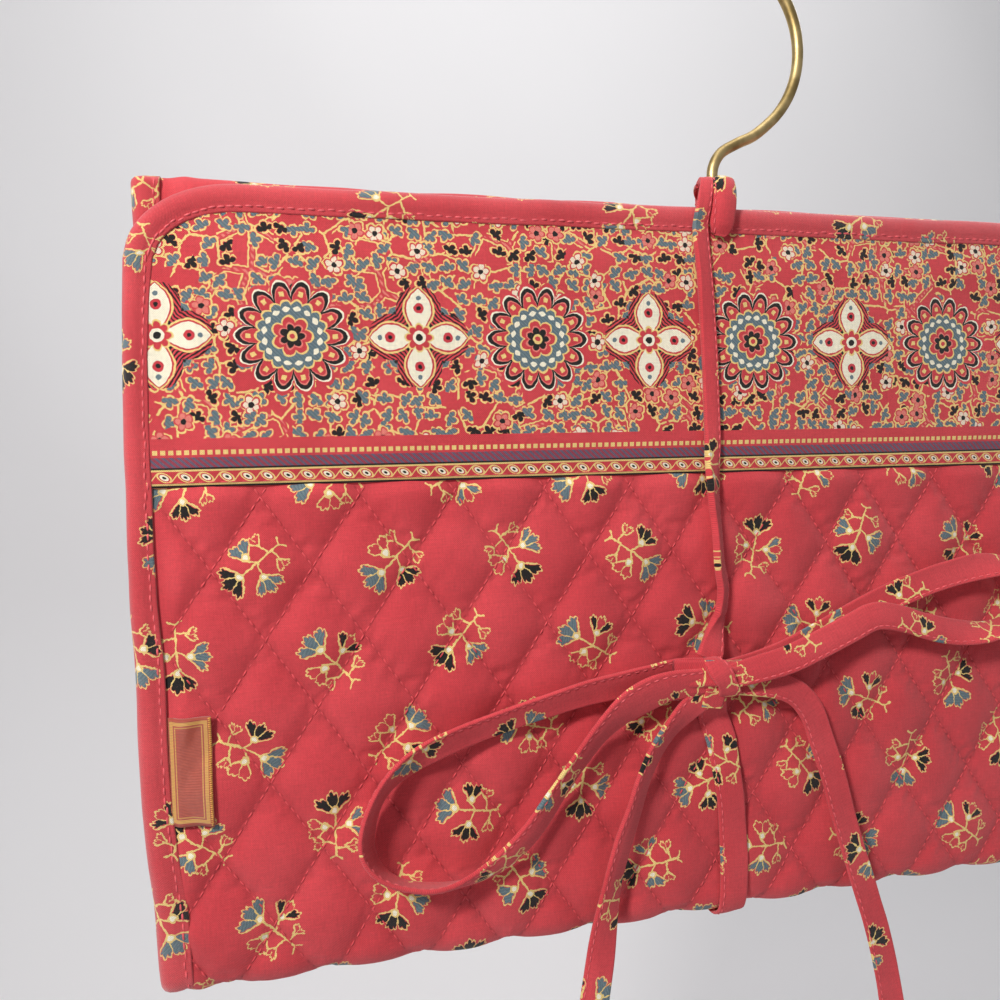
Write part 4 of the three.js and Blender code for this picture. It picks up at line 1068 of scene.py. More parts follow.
def quilted(x, v, seed):
    """Sideways shifts and height of the wadded cloth at x, v, taken diamond by diamond from the
    simulated patch, each turned over or not."""
    if SIM is None:
        h = puff(x, v, 2.6, seed)
        return np.stack([0 * h, 0 * h, h], -1)
    i, j = lattice(x, v)
    I, J = np.floor(i + 1e-6), np.floor(j + 1e-6)
    fi, fj = np.clip(i - I, 0, 1), np.clip(j - J, 0, 1)
    h1 = (value_noise(I * 1.37 + 11.1, J * 2.71 + 3.3, seed) + 1) / 2
    h2 = (value_noise(I * 3.17 + 1.7, J * 1.93 + 8.1, seed + 1) + 1) / 2
    fx, fv = h1 > 0.5, h2 > 0.5
    # x mirror: (fi, fj) -> (1 - fj, 1 - fi); v mirror: (fi, fj) -> (fj, fi)
    gi, gj = np.where(fx, 1 - fj, fi), np.where(fx, 1 - fi, fj)
    gi, gj = np.where(fv, gj, gi), np.where(fv, gi, gj)
    # whole diamonds inside the patch
    spots = []
    for p in range(0, NPX + NPV):
        for q in range(-NPV, NPX):
            corners = [((p + u + q + w) * 0.5, (p + u - q - w) * 0.5) for u in (0, 1) for w in (0, 1)]
            if all(-1e-9 <= cx <= NPX + 1e-9 and -1e-9 <= cv <= NPV + 1e-9 for cx, cv in corners):
                spots.append((p, q))
    pick = np.floor(((value_noise(I * 5.3 + 2.2, J * 4.1 + 6.6, seed + 2) + 1) / 2 * 7.77 % 1) * len(spots)).astype(int)
    spots = np.array(spots)
    i2, j2 = spots[pick][..., 0] + gi, spots[pick][..., 1] + gj
    px, pv = (i2 + j2) * 10.875, (i2 - j2) * 16.1
    a = np.clip(px / (21.75 / 20), 0, SIM.shape[0] - 1.0001)
    b = np.clip(pv / (32.2 / 20), 0, SIM.shape[1] - 1.0001)
    a0, b0 = np.floor(a).astype(int), np.floor(b).astype(int)
    wa, wb = (a - a0)[..., None], (b - b0)[..., None]
    D = SIM[a0, b0] * (1 - wa) * (1 - wb) + SIM[a0 + 1, b0] * wa * (1 - wb) + SIM[a0, b0 + 1] * (1 - wa) * wb + SIM[a0 + 1, b0 + 1] * wa * wb
    D = D.copy()
    D[..., 0] *= np.where(fx, -1, 1)
    D[..., 1] *= np.where(fv, -1, 1)
    return D


def quilt_relief(x, v, height, seed):
    """The shifts and the height, with the whole leaf's slow swell and each diamond's own fill."""
    D = quilted(x, v, seed) * np.array([0.6, 0.6, height])
    i, j = lattice(x, v)
    own = 1 + 0.14 * value_noise(np.floor(i) * 1.7 + 0.3, np.floor(j) * 2.3 + 0.6, seed + 6)
    slow = 0.3 * value_noise(x / 38, v / 34, seed + 4) + 0.05 * value_noise(x / 2.6, v / 2.4, seed + 8)
    for a, b, q in ((i, j, 0), (j, i, 1)):
        dist = np.abs(a - np.round(a)) * 18.02
        wave = np.sin(2 * PI * b * 19.43 / 4.6 + 2.8 * value_noise(b * 2.1, np.round(a) * 3.7 + q * 9.1, seed + q))
        slow = slow + 0.13 * (1 + 0.7 * value_noise(x / 13, v / 15, seed + 12 + q)) * wave * np.exp(-dist / 2.8) * smoothstep(0, 1.1, dist)
    D[..., 2] = D[..., 2] * own + slow
    return D


def fold_profile(v, y_straight, sign, radius, bottom, v_arc):
    """Point and outward normal, in Y and Z, of a cloth that hangs at y_straight down to v_arc,
    turns round the fold and runs under the organizer. sign is -1 on the flap, +1 on the back."""
    v = np.asarray(v, float)
    yc = y_straight - sign * radius
    zc = Z0 + v_arc
    s = v_arc - v
    ang = np.clip(s / radius, 0, PI / 2)
    flat = np.maximum(s - radius * PI / 2, 0)
    y = yc + sign * radius * np.cos(ang) - sign * flat
    z = np.where(v > v_arc, Z0 + v, zc - radius * np.sin(ang))
    ny, nz = sign * np.cos(ang), -np.sin(ang)
    return y, z, ny, nz


def end_v(y_straight, sign, radius, v_arc):
    """v at the middle of the spine."""
    yc = y_straight - sign * radius
    return v_arc - radius * PI / 2 - abs(yc - MID_Y)


def place(surface, x, v, lift=0.0):
    """Points and normals on a stored grid surface, between its nodes."""
    G, N, xs_, vs_ = surface
    fi = np.clip(np.interp(x, xs_, np.arange(len(xs_))), 0, len(xs_) - 1.001)
    fj = np.clip(np.interp(v, vs_, np.arange(len(vs_))), 0, len(vs_) - 1.001)
    i, j = fi.astype(int), fj.astype(int)
    a, b = (fi - i)[..., None], (fj - j)[..., None]
    f = lambda A: (A[i, j] * (1 - a) * (1 - b) + A[i + 1, j] * a * (1 - b) + A[i, j + 1] * (1 - a) * b + A[i + 1, j + 1] * a * b)
    P, n = f(G), unit(f(N))
    return P + n * lift, n


def quilting_points(xlo, xhi, vlo, vhi, pitch=2.2):
    """Stitch places on the unfolded cloth: x, v and direction, along every quilting line."""
    out = []
    for fam in (0, 1):
        for n in range(-60, 60):
            # family 0: i = n, point moves with j; family 1 the other way round
            t = np.arange(-60, 60, pitch / 19.43) + rng.uniform(0, 0.1)
            i, j = (np.full_like(t, n), t) if fam == 0 else (t, np.full_like(t, n))
            x = X_NODE + (i + j) * 10.875
            v = V_NODE - (i - j) * 16.1
            d = np.array([10.875, 16.1]) if fam == 0 else np.array([10.875, -16.1])
            ok = (x > xlo) & (x < xhi) & (v > vlo) & (v < vhi)
            if ok.any():
                jit = rng.uniform(-0.12, 0.12, (ok.sum(), 2))
                out.append(np.column_stack([x[ok] + jit[:, 0], v[ok] + jit[:, 1], np.tile(d, (ok.sum(), 1))]))
    return np.concatenate(out)


def stitches_on(name, surface, pts, length, radius, mat, body, lift=0.03):
    x, v, dx, dv = pts.T
    P, N = place(surface, x, v, lift)
    L = np.hypot(dx, dv)
    e = 0.6
    Q, _ = place(surface, x + dx / L * e, v + dv / L * e, lift)
    R, _ = place(surface, x - dx / L * e, v - dv / L * e, lift)
    o = stitch_mesh(name, P, Q - R, N, length, radius, mat)
    if body:
        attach(o, body)
    return o


def lattice_axis(lo, hi, start, step):
    """Grid places between lo and hi that fall on the lattice's nodes; the ends are the given ones."""
    k = np.arange(math.ceil((lo - start) / step + 0.3), math.floor((hi - start) / step - 0.3) + 1)
    return np.concatenate([[lo], start + k * step, [hi]])


def leaf_grid(sign, y_seam, v_top, height, seed, radius=FOLD_R, bottom=Z0 - 96.0, v_arc=V_ARC, half=143.6, fade_top=None, dx=DX / 2, dv=DV / 2):
    """Grid surface of a leaf's cloth with its half of the spine."""
    vend = end_v(y_seam, sign, radius, v_arc)
    x = lattice_axis(-half, half, X_NODE, dx)
    v = lattice_axis(vend, v_top, V_NODE, dv)
    X, V = np.meshgrid(x, v, indexing="ij")
    D = quilt_relief(X, V, height, seed)
    f = smoothstep(0, 5, 141.6 - np.abs(X)) * 0.97 + 0.03
    if fade_top is not None:
        f = f * smoothstep(0, 4.0, fade_top - V)
    D[..., :2] *= f[..., None]
    f = f * (1 - 0.35 * smoothstep(-84, -93, V)) * (1 - 0.6 * smoothstep(0, 9, -95 - V))
    h = D[..., 2] * f
    y, z, ny, nz = fold_profile(V + D[..., 1], y_seam, sign, radius, bottom, v_arc)
    P = np.stack([X + D[..., 0], y + ny * h, z + nz * h], -1)
    N = grid_normals(P)
    if (N[len(x) // 2, len(v) - 8, 1] > 0) != (sign > 0):
        N = -N
    return P, N, x, v, X, V


def add_leaf_cloth(name, P, N, X, V, thick, mat, sign):
    n = P.shape[0] * P.shape[1]
    gn = grid_normals(P)
    flip = (gn[P.shape[0] // 2, P.shape[1] - 2, 1] > 0) != (sign > 0)
    verts, faces = shell(P, thick, flip, 5)
    cloth = np.stack([X, V], -1).reshape(-1, 2)
    return make(name, verts, faces, [mat], cloth=np.concatenate([cloth, cloth]))


# the flap's quilted field, with the front half of the spine
FLAP_SEAM = -18.75
P, N, xs, vs, X, V = leaf_grid(-1, FLAP_SEAM, 20.6, 0.62, 11, fade_top=20.2)
flap_cloth = add_leaf_cloth("flap_quilted_cloth", P, N, X, V, 0.45, M_FIELD, -1)
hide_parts("flap_cover", "spine_cover")
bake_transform(flap_cloth)
FLAP_SURF = (P, N, xs, vs)
pts = quilting_points(-139.6, 139.6, -90.0, 18.4)
o = stitches_on("flap_quilting_stitches", FLAP_SURF, pts, 1.55, 0.2, M_STITCH, "front_flap")

# the back leaf's cloth: round the bar at the top, down the back, and the back half of the spine
BACK_SEAM = 4.0
HEM = 11.5  # length of the hem in front of the bar
vend = end_v(BACK_SEAM, 1, FOLD_R, V_ARC)
v_roll = 86.5  # the cloth leaves the straight part here
roll = PI * 4.1
v_top = v_roll + roll + HEM
half = 143.4
xb = lattice_axis(-half, half, X_NODE, DX)
vb = lattice_axis(vend, v_top, V_NODE, DV / 2)
X, V = np.meshgrid(xb, vb, indexing="ij")
D = quilt_relief(X, V, 0.56, 23)
f_ = (smoothstep(0, 5, 141.6 - np.abs(X)) * 0.97 + 0.03) * smoothstep(0, 4, 77.0 - V)
D[..., :2] *= f_[..., None]
h = D[..., 2] * f_ * (1 - 0.35 * smoothstep(-84, -93, V)) * (1 - 0.6 * smoothstep(0, 9, -95 - V))
h += (0.25 * value_noise(X / 17, V / 12, 31) + 0.12 * np.sin(2 * PI * X / 5.2 + 3 * value_noise(X / 11, 1.0, 32)) * bump_at(V, 77.6, 2.4)) * smoothstep(74, 78, V)
y, z, ny, nz = fold_profile(V + D[..., 1], BACK_SEAM, 1, FOLD_R, Z0 - 96, V_ARC)
flat = 1 - 0.43 * smoothstep(134.5, 140.0, np.abs(X))  # the roll flattens under the side bindings
ang = np.clip((V - v_roll) / 4.1, 0, PI)
rr = 4.1 * flat
ry = BACK_SEAM - rr + rr * np.cos(ang)
rz = Z0 + v_roll + 4.1 * np.sin(ang) * (0.75 + 0.25 * flat)
rz = rz + (0.95 * smoothstep(106, 141, np.abs(X)) + 0.7 * smoothstep(132, 139.5, np.abs(X))) * np.sin(ang)
down_hem = np.clip(V - v_roll - roll, 0, None)
hy = ry + np.minimum(down_hem, 7) * 0.0 + smoothstep(4, 11, down_hem) * (rr * 2 - 4.9 * flat - 0.6) * 0.62
on_roll = V > v_roll
y = np.where(on_roll, hy, y)
z = np.where(on_roll, rz - down_hem, z)
ny = np.where(on_roll, np.cos(ang), ny)
nz = np.where(on_roll, np.sin(ang), nz)
P = np.stack([X + D[..., 0], y + ny * h, z + nz * h], -1)
gn = grid_normals(P)
flip = gn[len(xb) // 2, len(vb) // 3, 1] < 0
N = -gn if flip else gn
verts, faces = shell(P, 0.45, flip, 4)
cl = np.stack([X, V], -1).reshape(-1, 2)
back_cloth = make("back_quilted_cloth", verts, faces, [M_FIELD_BACK], cloth=np.concatenate([cl, cl]))
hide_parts("back_cover", "spine_cover")
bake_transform(back_cloth)
BACK_SURF = (P, N, xb, vb)
pts = quilting_points(-139.6, 139.6, -90.0, 76.0)
stitches_on("back_quilting_stitches", BACK_SURF, pts, 1.55, 0.2, M_STITCH, "back_panel")
# the row that closes the casing under the bar, on the back and on the hem in front
sx = np.arange(-138.5, 138.5, 2.2)
row = np.column_stack([sx, np.full_like(sx, 77.6), np.ones_like(sx), np.zeros_like(sx)])
row2 = np.column_stack([sx, np.full_like(sx, v_top - 3.0), np.ones_like(sx), np.zeros_like(sx)])
stitches_on("casing_stitches", BACK_SURF, np.concatenate([row, row2]), 1.6, 0.19, M_STITCH_PINK, "back_panel")

# the border band, padded but not quilted
BAND_TOP = 83.2


def band_half(v):
    rx, rz = 21.5, 15.0
    t = np.clip((v - (BAND_TOP - rz)) / rz, 0, 1)
    return 143.4 - rx + rx * np.sqrt(np.maximum(0, 1 - t * t))


nb, mb = 264, 62
vb2 = 18.85 + (BAND_TOP - 18.85) * (1 - (1 - np.linspace(0, 1, mb)) ** 1.25)
tb = np.linspace(-1, 1, nb)
TT, V = np.meshgrid(tb, vb2, indexing="ij")
X = TT * band_half(V)
edge_d = np.minimum(np.minimum(140.2 - np.abs(X), 78.2 - V + 0 * X), V - 18.85)
cx_, cv_ = np.abs(X) - (140.6 - 17.0), V - (79.2 - 11.0)
edge_d = np.where((cx_ > 0) & (cv_ > 0), 11.0 * (1 - np.hypot(cx_ / 17.0, cv_ / 11.0)), edge_d)
h = 0.95 * smoothstep(0, 9, edge_d)
h += (0.28 * value_noise(X / 23, V / 15, 41) + 0.16 * value_noise(X / 8, V / 9, 43)) * smoothstep(0, 4, edge_d)
# the stitched edge draws small puckers
h += 0.16 * np.sin(2 * PI * X / 4.8 + 2 * value_noise(X / 9, 1.0, 44)) * np.exp(-np.maximum(78.2 - V, 0) / 3.0) * smoothstep(-1, 1.5, edge_d)
h += 0.14 * np.sin(2 * PI * X / 4.4 + 2 * value_noise(X / 9, 2.0, 45)) * np.exp(-np.maximum(V - 18.85, 0) / 2.5) * smoothstep(0, 0.8, V - 18.85)
# the tie presses it in
tie_x = np.interp(V, [4.6, 17.1, 27.0, 36.9, 49.2, 61.4, 71.1, 79.5], [-11.4, -12.1, -11.9, -12.1, -12.7, -13.6, -14.5, -14.7])
h -= 0.35 * np.exp(-(((X - tie_x) / 5.5) ** 2)) * smoothstep(0, 6, edge_d)
PB = np.stack([X, -19.2 - h, Z0 + V], -1)
gn = grid_normals(PB)
flip = gn[nb // 2, mb // 2, 1] > 0
verts, faces = shell(PB, 0.5, flip)
cl = np.stack([X, V], -1).reshape(-1, 2)
band = make("flap_border_cloth", verts, faces, [M_BORDER], cloth=np.concatenate([cl, cl]))
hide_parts("flap_border_band")
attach(band, "front_flap")


def band_y(x, v):
    """Front face of the band or of the field below it."""
    x, v = np.atleast_1d(np.asarray(x, float)), np.atleast_1d(np.asarray(v, float))
    j = np.interp(v, vb2, np.arange(mb))
    i = (x / band_half(v) + 1) / 2 * (nb - 1)
    i0, j0 = np.clip(i.astype(int), 0, nb - 2), np.clip(j.astype(int), 0, mb - 2)
    a, b = i - i0, j - j0
    Yb = PB[..., 1]
    yb = Yb[i0, j0] * (1 - a) * (1 - b) + Yb[i0 + 1, j0] * a * (1 - b) + Yb[i0, j0 + 1] * (1 - a) * b + Yb[i0 + 1, j0 + 1] * a * b
    yf = place(FLAP_SURF, x, v)[0][..., 1]
    return np.where(v > 19, yb, yf)


# row of stitches just under the band's lower line
sx = np.arange(-138.8, 138.8, 2.25)
P_ = np.stack([sx, band_y(sx, np.full_like(sx, 19.9)) - 0.05, np.full_like(sx, Z0 + 19.9)], -1)
o = stitch_mesh("band_seam_stitches", P_, np.tile([1.0, 0, 0], (len(sx), 1)), np.tile([0, -1.0, 0], (len(sx), 1)), 1.5, 0.15, M_STITCH)
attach(o, "front_flap")


# ---------------------------------------------------------------- linings
def corner_half(v, inset):
    """Half width of the flap inside its rounded upper corners."""
    q = np.clip((np.asarray(v, float) - (84.9 - 17.0)) / 17.0, 0, 1)
    return 122.4 + 24.0 * np.sqrt(1 - q * q) - inset


def add_lining(name, y_seam, sign_in, v_top, start, end, replaced, body_sign):
    """Inner cloth of a leaf with its half of the spine; sign_in is the way it looks."""
    radius, v_arc = 1.7, V_ARC + 0.3
    sgn = -sign_in  # the side the leaf's outside is on
    vend_ = v_arc - radius * PI / 2 - abs((y_seam - sgn * radius) - MID_Y)
    nx, nv = 145, int((v_top - vend_) / 1.6) + 1
    x = np.linspace(-143.4, 143.4, nx)
    v = np.linspace(vend_, v_top, nv)
    X, V = np.meshgrid(x, v, indexing="ij")
    if sign_in > 0:
        X = X * np.minimum(1, corner_half(V, 4.0) / 143.4)
    h = puff(X, V, 0.42, 51) * smoothstep(0, 6, 140 - np.abs(X)) * smoothstep(0, 9, V + 88) * smoothstep(0, 5, v_top - V)
    yc = y_seam - sgn * radius
    s = v_arc - V
    ang = np.clip(s / radius, 0, PI / 2)
    flat_ = np.maximum(s - radius * PI / 2, 0)
    y = yc + sgn * radius * np.cos(ang) - sgn * flat_
    z = np.where(V > v_arc, Z0 + V, Z0 + v_arc - radius * np.sin(ang))
    ny, nz = -sgn * np.cos(ang), np.sin(ang)
    P = np.stack([X, y + ny * h, z + nz * h], -1)
    gn = grid_normals(P)
    fl = (gn[nx // 2, nv - 3, 1] > 0) != (sign_in > 0)
    verts, faces = shell(P, 0.35, fl)
    # the print follows the open fold: there the crease is longer by its turn round the pivot
    p0, p1 = np.array(start[1:]) / MM, np.array(end[1:]) / MM
    along = np.clip(((P[..., 1] - p0[0]) * (p1 - p0)[0] + (P[..., 2] - p0[1]) * (p1 - p0)[1]) / ((p1 - p0) ** 2).sum(), 0, 1)
    if sign_in > 0:
        along = 1 - along
    cl = np.stack([X, V - 5.1 * along], -1).reshape(-1, 2)
    o = make(name, verts, faces, [M_LINING], cloth=np.concatenate([cl, cl]))
    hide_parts(*replaced)
    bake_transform(o)
    return o


add_lining("flap_lining_cloth", -15.7, 1, 82.4, (0, -0.0129, (Z0 - 96) * MM), (0, -0.0188, (Z0 - 90) * MM), ["flap_lining", "spine_lining", "spine_wadding"], -1)
add_lining("back_lining_cloth", 0.95, -1, 73.4, (0, 0.0041, (Z0 - 90) * MM), (0, -0.0019, (Z0 - 96) * MM), ["back_lining", "spine_lining"], 1)


# ---------------------------------------------------------------- edge bindings
def binding_section(h_out, cloth_t=0.6, width=6.7):
    """Closed C section: u outwards (0 at the very edge), w across the leaf."""
    us = np.array([-width, -width + 0.35, -width + 1.25, -width + 2.2, -3.2, -1.9, -0.9, -0.3, 0.0])
    hs = np.array([0.80, 0.87, 0.82, 0.95, 1.02, 0.97, 0.78, 0.45, 0.0]) * h_out
    top = np.stack([us, hs], -1)
    out = np.concatenate([top, np.stack([us[:-1][::-1], -hs[:-1][::-1]], -1)])
    t = unit(np.gradient(out, axis=0))
    nrm = np.stack([t[:, 1], -t[:, 0]], -1)
    inn = out + nrm * cloth_t
    if np.abs(inn[len(us) // 2, 1]) > np.abs(out[len(us) // 2, 1]):
        inn = out - nrm * cloth_t
    inn[0, 0], inn[-1, 0] = out[0, 0], out[-1, 0]
    return np.concatenate([out, inn[::-1]])


def binding_width(p, u):
    """Share of the full width that shows: less along the sides' upper part."""
    v = p[2] - Z0
    f = float(np.interp(v, [-96, -76, -48, -22, 6.6, 47, 60, 71], [1.04, 1.12, 0.98, 0.96, 0.86, 0.82, 0.88, 1.0]))
    return 1 + (f - 1) * float(smoothstep(0.6, 1.0, abs(u[0])))


def add_binding(name, path, U, W, half_t, v_along, replaced, body, blend=None, seed=61, taper_start=False, taper_end=False, mat=None):
    """path: points of the leaf's very edge on its middle plane; U outwards, W across the leaf."""
    path, U, W = (np.asarray(a, float) for a in (path, U, W))
    s = np.concatenate([[0], np.cumsum(np.linalg.norm(np.diff(path, axis=0), axis=1))])
    n = int(s[-1] / 0.73) + 1
    ss = np.linspace(0, s[-1], n)
    f = lambda A: np.stack([np.interp(ss, s, A[:, k]) for k in range(3)], -1)
    P, U, W = f(path), unit(f(U)), f(W)
    W = unit(W - (W * U).sum(-1, keepdims=True) * U)
    ht = np.interp(ss, s, half_t)
    base = binding_section(1.0, 0.0)
    secs = []
    for i in range(n):
        m = 1 + 0.035 * float(value_noise(ss[i] / 6.0, 0.2, seed)) + 0.03 * float(value_noise(ss[i] / 17.0, 0.6, seed + 1))
        sec = binding_section(ht[i] * m)
        wf = binding_width(P[i], U[i])
        sec[:, 0] *= wf
        sec[:, 0] += 0.16 * float(value_noise(ss[i] / 13.0, 0.9, seed + 2))
        dimple = 0.10 * math.cos(2 * PI * ss[i] / 2.2)
        k = np.exp(-(((sec[:, 0] + 5.45 * wf) / 0.7) ** 2))
        sec[:, 1] += -np.sign(sec[:, 1]) * k * (0.05 + dimple)
        e = 1.0
        if taper_start:
            e = min(e, math.sqrt(max(0.02, min(1, ss[i] / 1.6))))
        if taper_end:
            e = min(e, math.sqrt(max(0.02, min(1, (ss[-1] - ss[i]) / 1.6))))
        sec[:, 1] *= e
        if taper_end:
            q = max(0.0, 1 - (ss[-1] - ss[i]) / 2.4)
            sec[:, 0] -= 2.4 * (1 - math.sqrt(1 - q * q)) * np.clip((sec[:, 0] + 6.7) / 6.7, 0, 1)
        secs.append(sec)
    secs = np.array(secs)
    verts, faces = sweep(P, U, W, secs)
    faces = outward(verts, faces)
    k = secs.shape[1]
    uu = secs[..., 0].reshape(-1)
    # the cloth's own width coordinate runs round the section
    run = np.concatenate([[0], np.cumsum(np.linalg.norm(np.diff(secs[n // 2], axis=0), axis=1))])
    run = np.tile(run, n)
    o = make(name, verts, faces, [mat or M_BINDING], cloth=np.stack([run + seed * 3.3, np.repeat(ss, k) + seed], -1))
    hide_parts(*replaced)
    # stitching along the inner edge, both faces
    pp, dd, nn = [], [], []
    T = tangents(P)
    for m in np.arange(1.1, ss[-1] - 0.6, 2.2):
        i = int(np.clip(np.searchsorted(ss, m), 0, n - 1))
        if taper_start and ss[i] < 2 or taper_end and ss[-1] - ss[i] < 2:
            continue
        for side in (1, -1):
            pp.append(P[i] + U[i] * (-5.45 * binding_width(P[i], U[i]) + 0.14 * rng.standard_normal() + 0.16 * float(value_noise(ss[i] / 13.0, 0.9, seed + 2))) + W[i] * side * (0.83 * ht[i] + 0.02))
            dd.append(T[i])
            nn.append(W[i] * side)
    st = stitch_mesh(name + "_stitches", pp, dd, nn, 1.6, 0.25, M_STITCH_PINK)
    for q in (o, st):
        if blend:
            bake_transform(q)
        else:
            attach(q, body)
    return o


def fold_edge(sign, x):
    """Edge path from the middle of the spine round the fold up to where the leaf runs straight.
    Returns centre points (y, z), across directions (y, z) and half thicknesses."""
    h = 2.2
    face = -19.95 if sign < 0 else 4.75
    rc = 2.7
    cy = face - sign * h - sign * rc
    cz = Z0 - 91.8 + rc
    pts, acr, ht = [], [], []
    n = 10
    for t in np.linspace(0, 1, 6)[:-1]:
        pts.append((MID_Y + (cy - MID_Y) * t, Z0 - 91.8))
        acr.append((0.0, -1.0))
        ht.append(h)
    for a in np.linspace(PI / 2, 0, n):
        pts.append((cy + sign * rc * math.cos(a), cz - rc * math.sin(a)))
        acr.append((sign * math.cos(a), -math.sin(a)))
        ht.append(h)
    return pts, acr, ht


def straight_half(v, sign):
    """Half thickness and middle plane of the leaf's edge at height v."""
    t = float(smoothstep(-89.2, -72, v))
    h = 2.2 + (3.2 - 2.2) * t
    face = -19.95 if sign < 0 else 4.75
    return h, face - sign * h


pts, acr, ht = fold_edge(-1, -1)
path, U, W, H = [], [], [], []
EDGE = 146.4


def edge_x(v):
    """The leaf's edge isn't quite straight: wider in the middle, drawn in at the fold and the corners."""
    return float(np.interp(v, [-97.0, -85.8, -78.9, -72.1, -60.7, -49.4, -38.3, -27.2, -16.2, -5.2, 5.7, 12.2, 30.0, 48.6, 66.0, 73.0, 90.0], [145.1, 145.3, 145.9, 146.2, 147.2, 147.6, 147.7, 147.7, 147.8, 148.2, 148.3, 148.3, 147.9, 147.4, 146.8, 146.4, 146.4]))


for (y, z), a, h in zip(pts, acr, ht):
    path.append((-edge_x(-95), y, z))
    U.append((-1, 0, 0))
    W.append((0, a[0], a[1]))
    H.append(h)
RX, RZ = 24.0, 17.0
TOPV = 84.9
for v in np.linspace(-87.6, TOPV - RZ, 40):
    h, y = straight_half(v, -1)
    path.append((-edge_x(v), y, Z0 + v))
    U.append((-1, 0, 0))
    W.append((0, -1, 0))
    H.append(h)
h, y = straight_half(50, -1)
for a in np.linspace(PI, PI / 2, 14)[1:]:
    path.append((-EDGE + RX + RX * math.cos(a), y, Z0 + TOPV - RZ + RZ * math.sin(a)))
    U.append(tuple(unit((math.cos(a) / RX, 0, math.sin(a) / RZ))))
    W.append((0, -1, 0))
    H.append(h)
m = [(-x, y_, z_) for x, y_, z_ in path[::-1]]
mU = [(-x, y_, z_) for x, y_, z_ in U[::-1]]
path, U, W, H = path + m, U + mU, W + W[::-1], H + H[::-1]
CREASE_F = ("spine", "front_flap", (0, -0.0129, (Z0 - 96) * MM), (0, -0.0188, (Z0 - 90) * MM))
CREASE_B = ("back_panel", "spine", (0, 0.0041, (Z0 - 90) * MM), (0, -0.0019, (Z0 - 96) * MM))
add_binding("flap_edge_binding", path, U, W, H, None, ["flap_binding", "spine_binding_left", "spine_binding_right"], None, CREASE_F, seed=61)
for side, s in (("left", -1), ("right", 1)):
    pts, acr, ht = fold_edge(1, s)
    path, U, W, H = [], [], [], []
    for (y, z), a, h in zip(pts, acr, ht):
        path.append((s * edge_x(-95), y, z))
        U.append((s, 0, 0))
        W.append((0, a[0], a[1]))
        H.append(h)
    for v in np.linspace(-87.6, 91.9, 44):
        h, y = straight_half(v, 1)
        path.append((s * (edge_x(v) + 1.5 * float(smoothstep(50, 86, v))), y, Z0 + v))
        U.append((s, 0, 0))
        W.append((0, 1, 0))
        H.append(h)
    add_binding("back_edge_binding_" + side, path, U, W, H, None, ["back_binding_" + side, "spine_binding_" + side], None, CREASE_B, seed=71 + s, taper_end=True)


# ---------------------------------------------------------------- woven label
nu, nv = 16, 34
u = np.linspace(0, 9.6, nu)
w = np.linspace(0, 24.4, nv)
Ug, Wg = np.meshgrid(u, w, indexing="ij")
Xl = -141.7 + Ug
Vl = -55.4 + Wg + 0.25 * value_noise(Ug / 5, Wg / 9, 81)
under = place(FLAP_SURF, Xl, Vl)[0][..., 1] - 0.75
yl = -19.15 + (np.minimum(under, -20.2) + 19.15) * smoothstep(0.9, 2.4, Ug)
yl = yl - 0.35 * np.exp(-(((Ug - 9.0) / 1.6) ** 2)) * (0.6 + 0.4 * value_noise(Wg / 6, 1.0, 82))
PL = np.stack([Xl, yl, Z0 + Vl], -1)
gn = grid_normals(PL)
verts, faces = shell(PL, 0.45, gn[8, 16, 1] > 0)
cl = np.stack([Ug, Wg], -1).reshape(-1, 2)
label = make("label_tab", verts, faces, [M_LABEL], cloth=np.concatenate([cl, cl]))
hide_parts("woven_label")
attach(label, "front_flap")
# satin edge threads of the label
pp, dd, nn = [], [], []
for wv in np.arange(0.4, 24.1, 0.46):
    for uu in (9.25,):
        i = int(uu / 9.6 * (nu - 1))
        j = int(wv / 24.4 * (nv - 1))
        q = PL[i, j].copy()
        q[0] = -141.7 + uu
        q[2] = Z0 - 55.4 + wv
        pp.append(q + np.array([0, -0.02, 0]))
        dd.append((1.0, 0, 0.25))
        nn.append((0, -1, 0))
st = stitch_mesh("label_edge_threads", pp, dd, nn, 0.75, 0.17, M_GOLD_THREAD)
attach(st, "front_flap")


# ================================================================ tie on the flap, knot and wrap
def strap_line(xv, lift, step=1.2):
    """Points of a strap that lies on the flap: its face stays lift in front of the cloth."""
    xv = np.asarray(xv, float)
    P2, _ = resample(np.column_stack([xv, np.zeros(len(xv))]), step=step)
    x, v = P2[:, 0], P2[:, 1]
    y = np.min([band_y(x + k, v) for k in (-3, -1.5, 0, 1.5, 3)], axis=0)
    ys = np.convolve(np.pad(y, 4, mode="edge"), np.ones(9) / 9, "valid")
    y = np.minimum(ys, y + 0.15) - lift
    return np.stack([x, y, Z0 + v], -1)


up = strap_line([(-13.9, 83.5), (-13.9, 77.5), (-13.5, 71.1), (-12.9, 61.4), (-12.4, 49.2), (-12.1, 36.9), (-11.9, 27.0), (-12.2, 17.1), (-11.9, 7.0), (-11.4, -3.0), (-10.0, -10.4), (-11.0, -16.8), (-12.9, -21.9), (-15.2, -26.8)], 0.95)
up = up[3:]
up = np.vstack([[(-10.4, -14.6, Z0 + 91.4), (-11.0, -17.2, Z0 + 91.7), (-12.0, -19.8, Z0 + 90.3), (-13.0, -21.2, Z0 + 87.2), (-13.6, -21.3, Z0 + 83.8)], up])
on_edge = lambda t: smoothstep(0.52, 0.66, t) * (1 - smoothstep(0.89, 0.985, t))
up, su = resample(up, step=1.2)
tu = su / su[-1]
up[:, 1] -= 1.5 * on_edge(tu)
up[:, 1] += (KNOT[1] + 1.4 - up[:, 1]) * smoothstep(0.91, 1.0, tu)
UT = tangents(resample(up, step=0.55)[0])
up_face = np.cross(UT, np.tile([1.0, 0, 0], (len(UT), 1)))
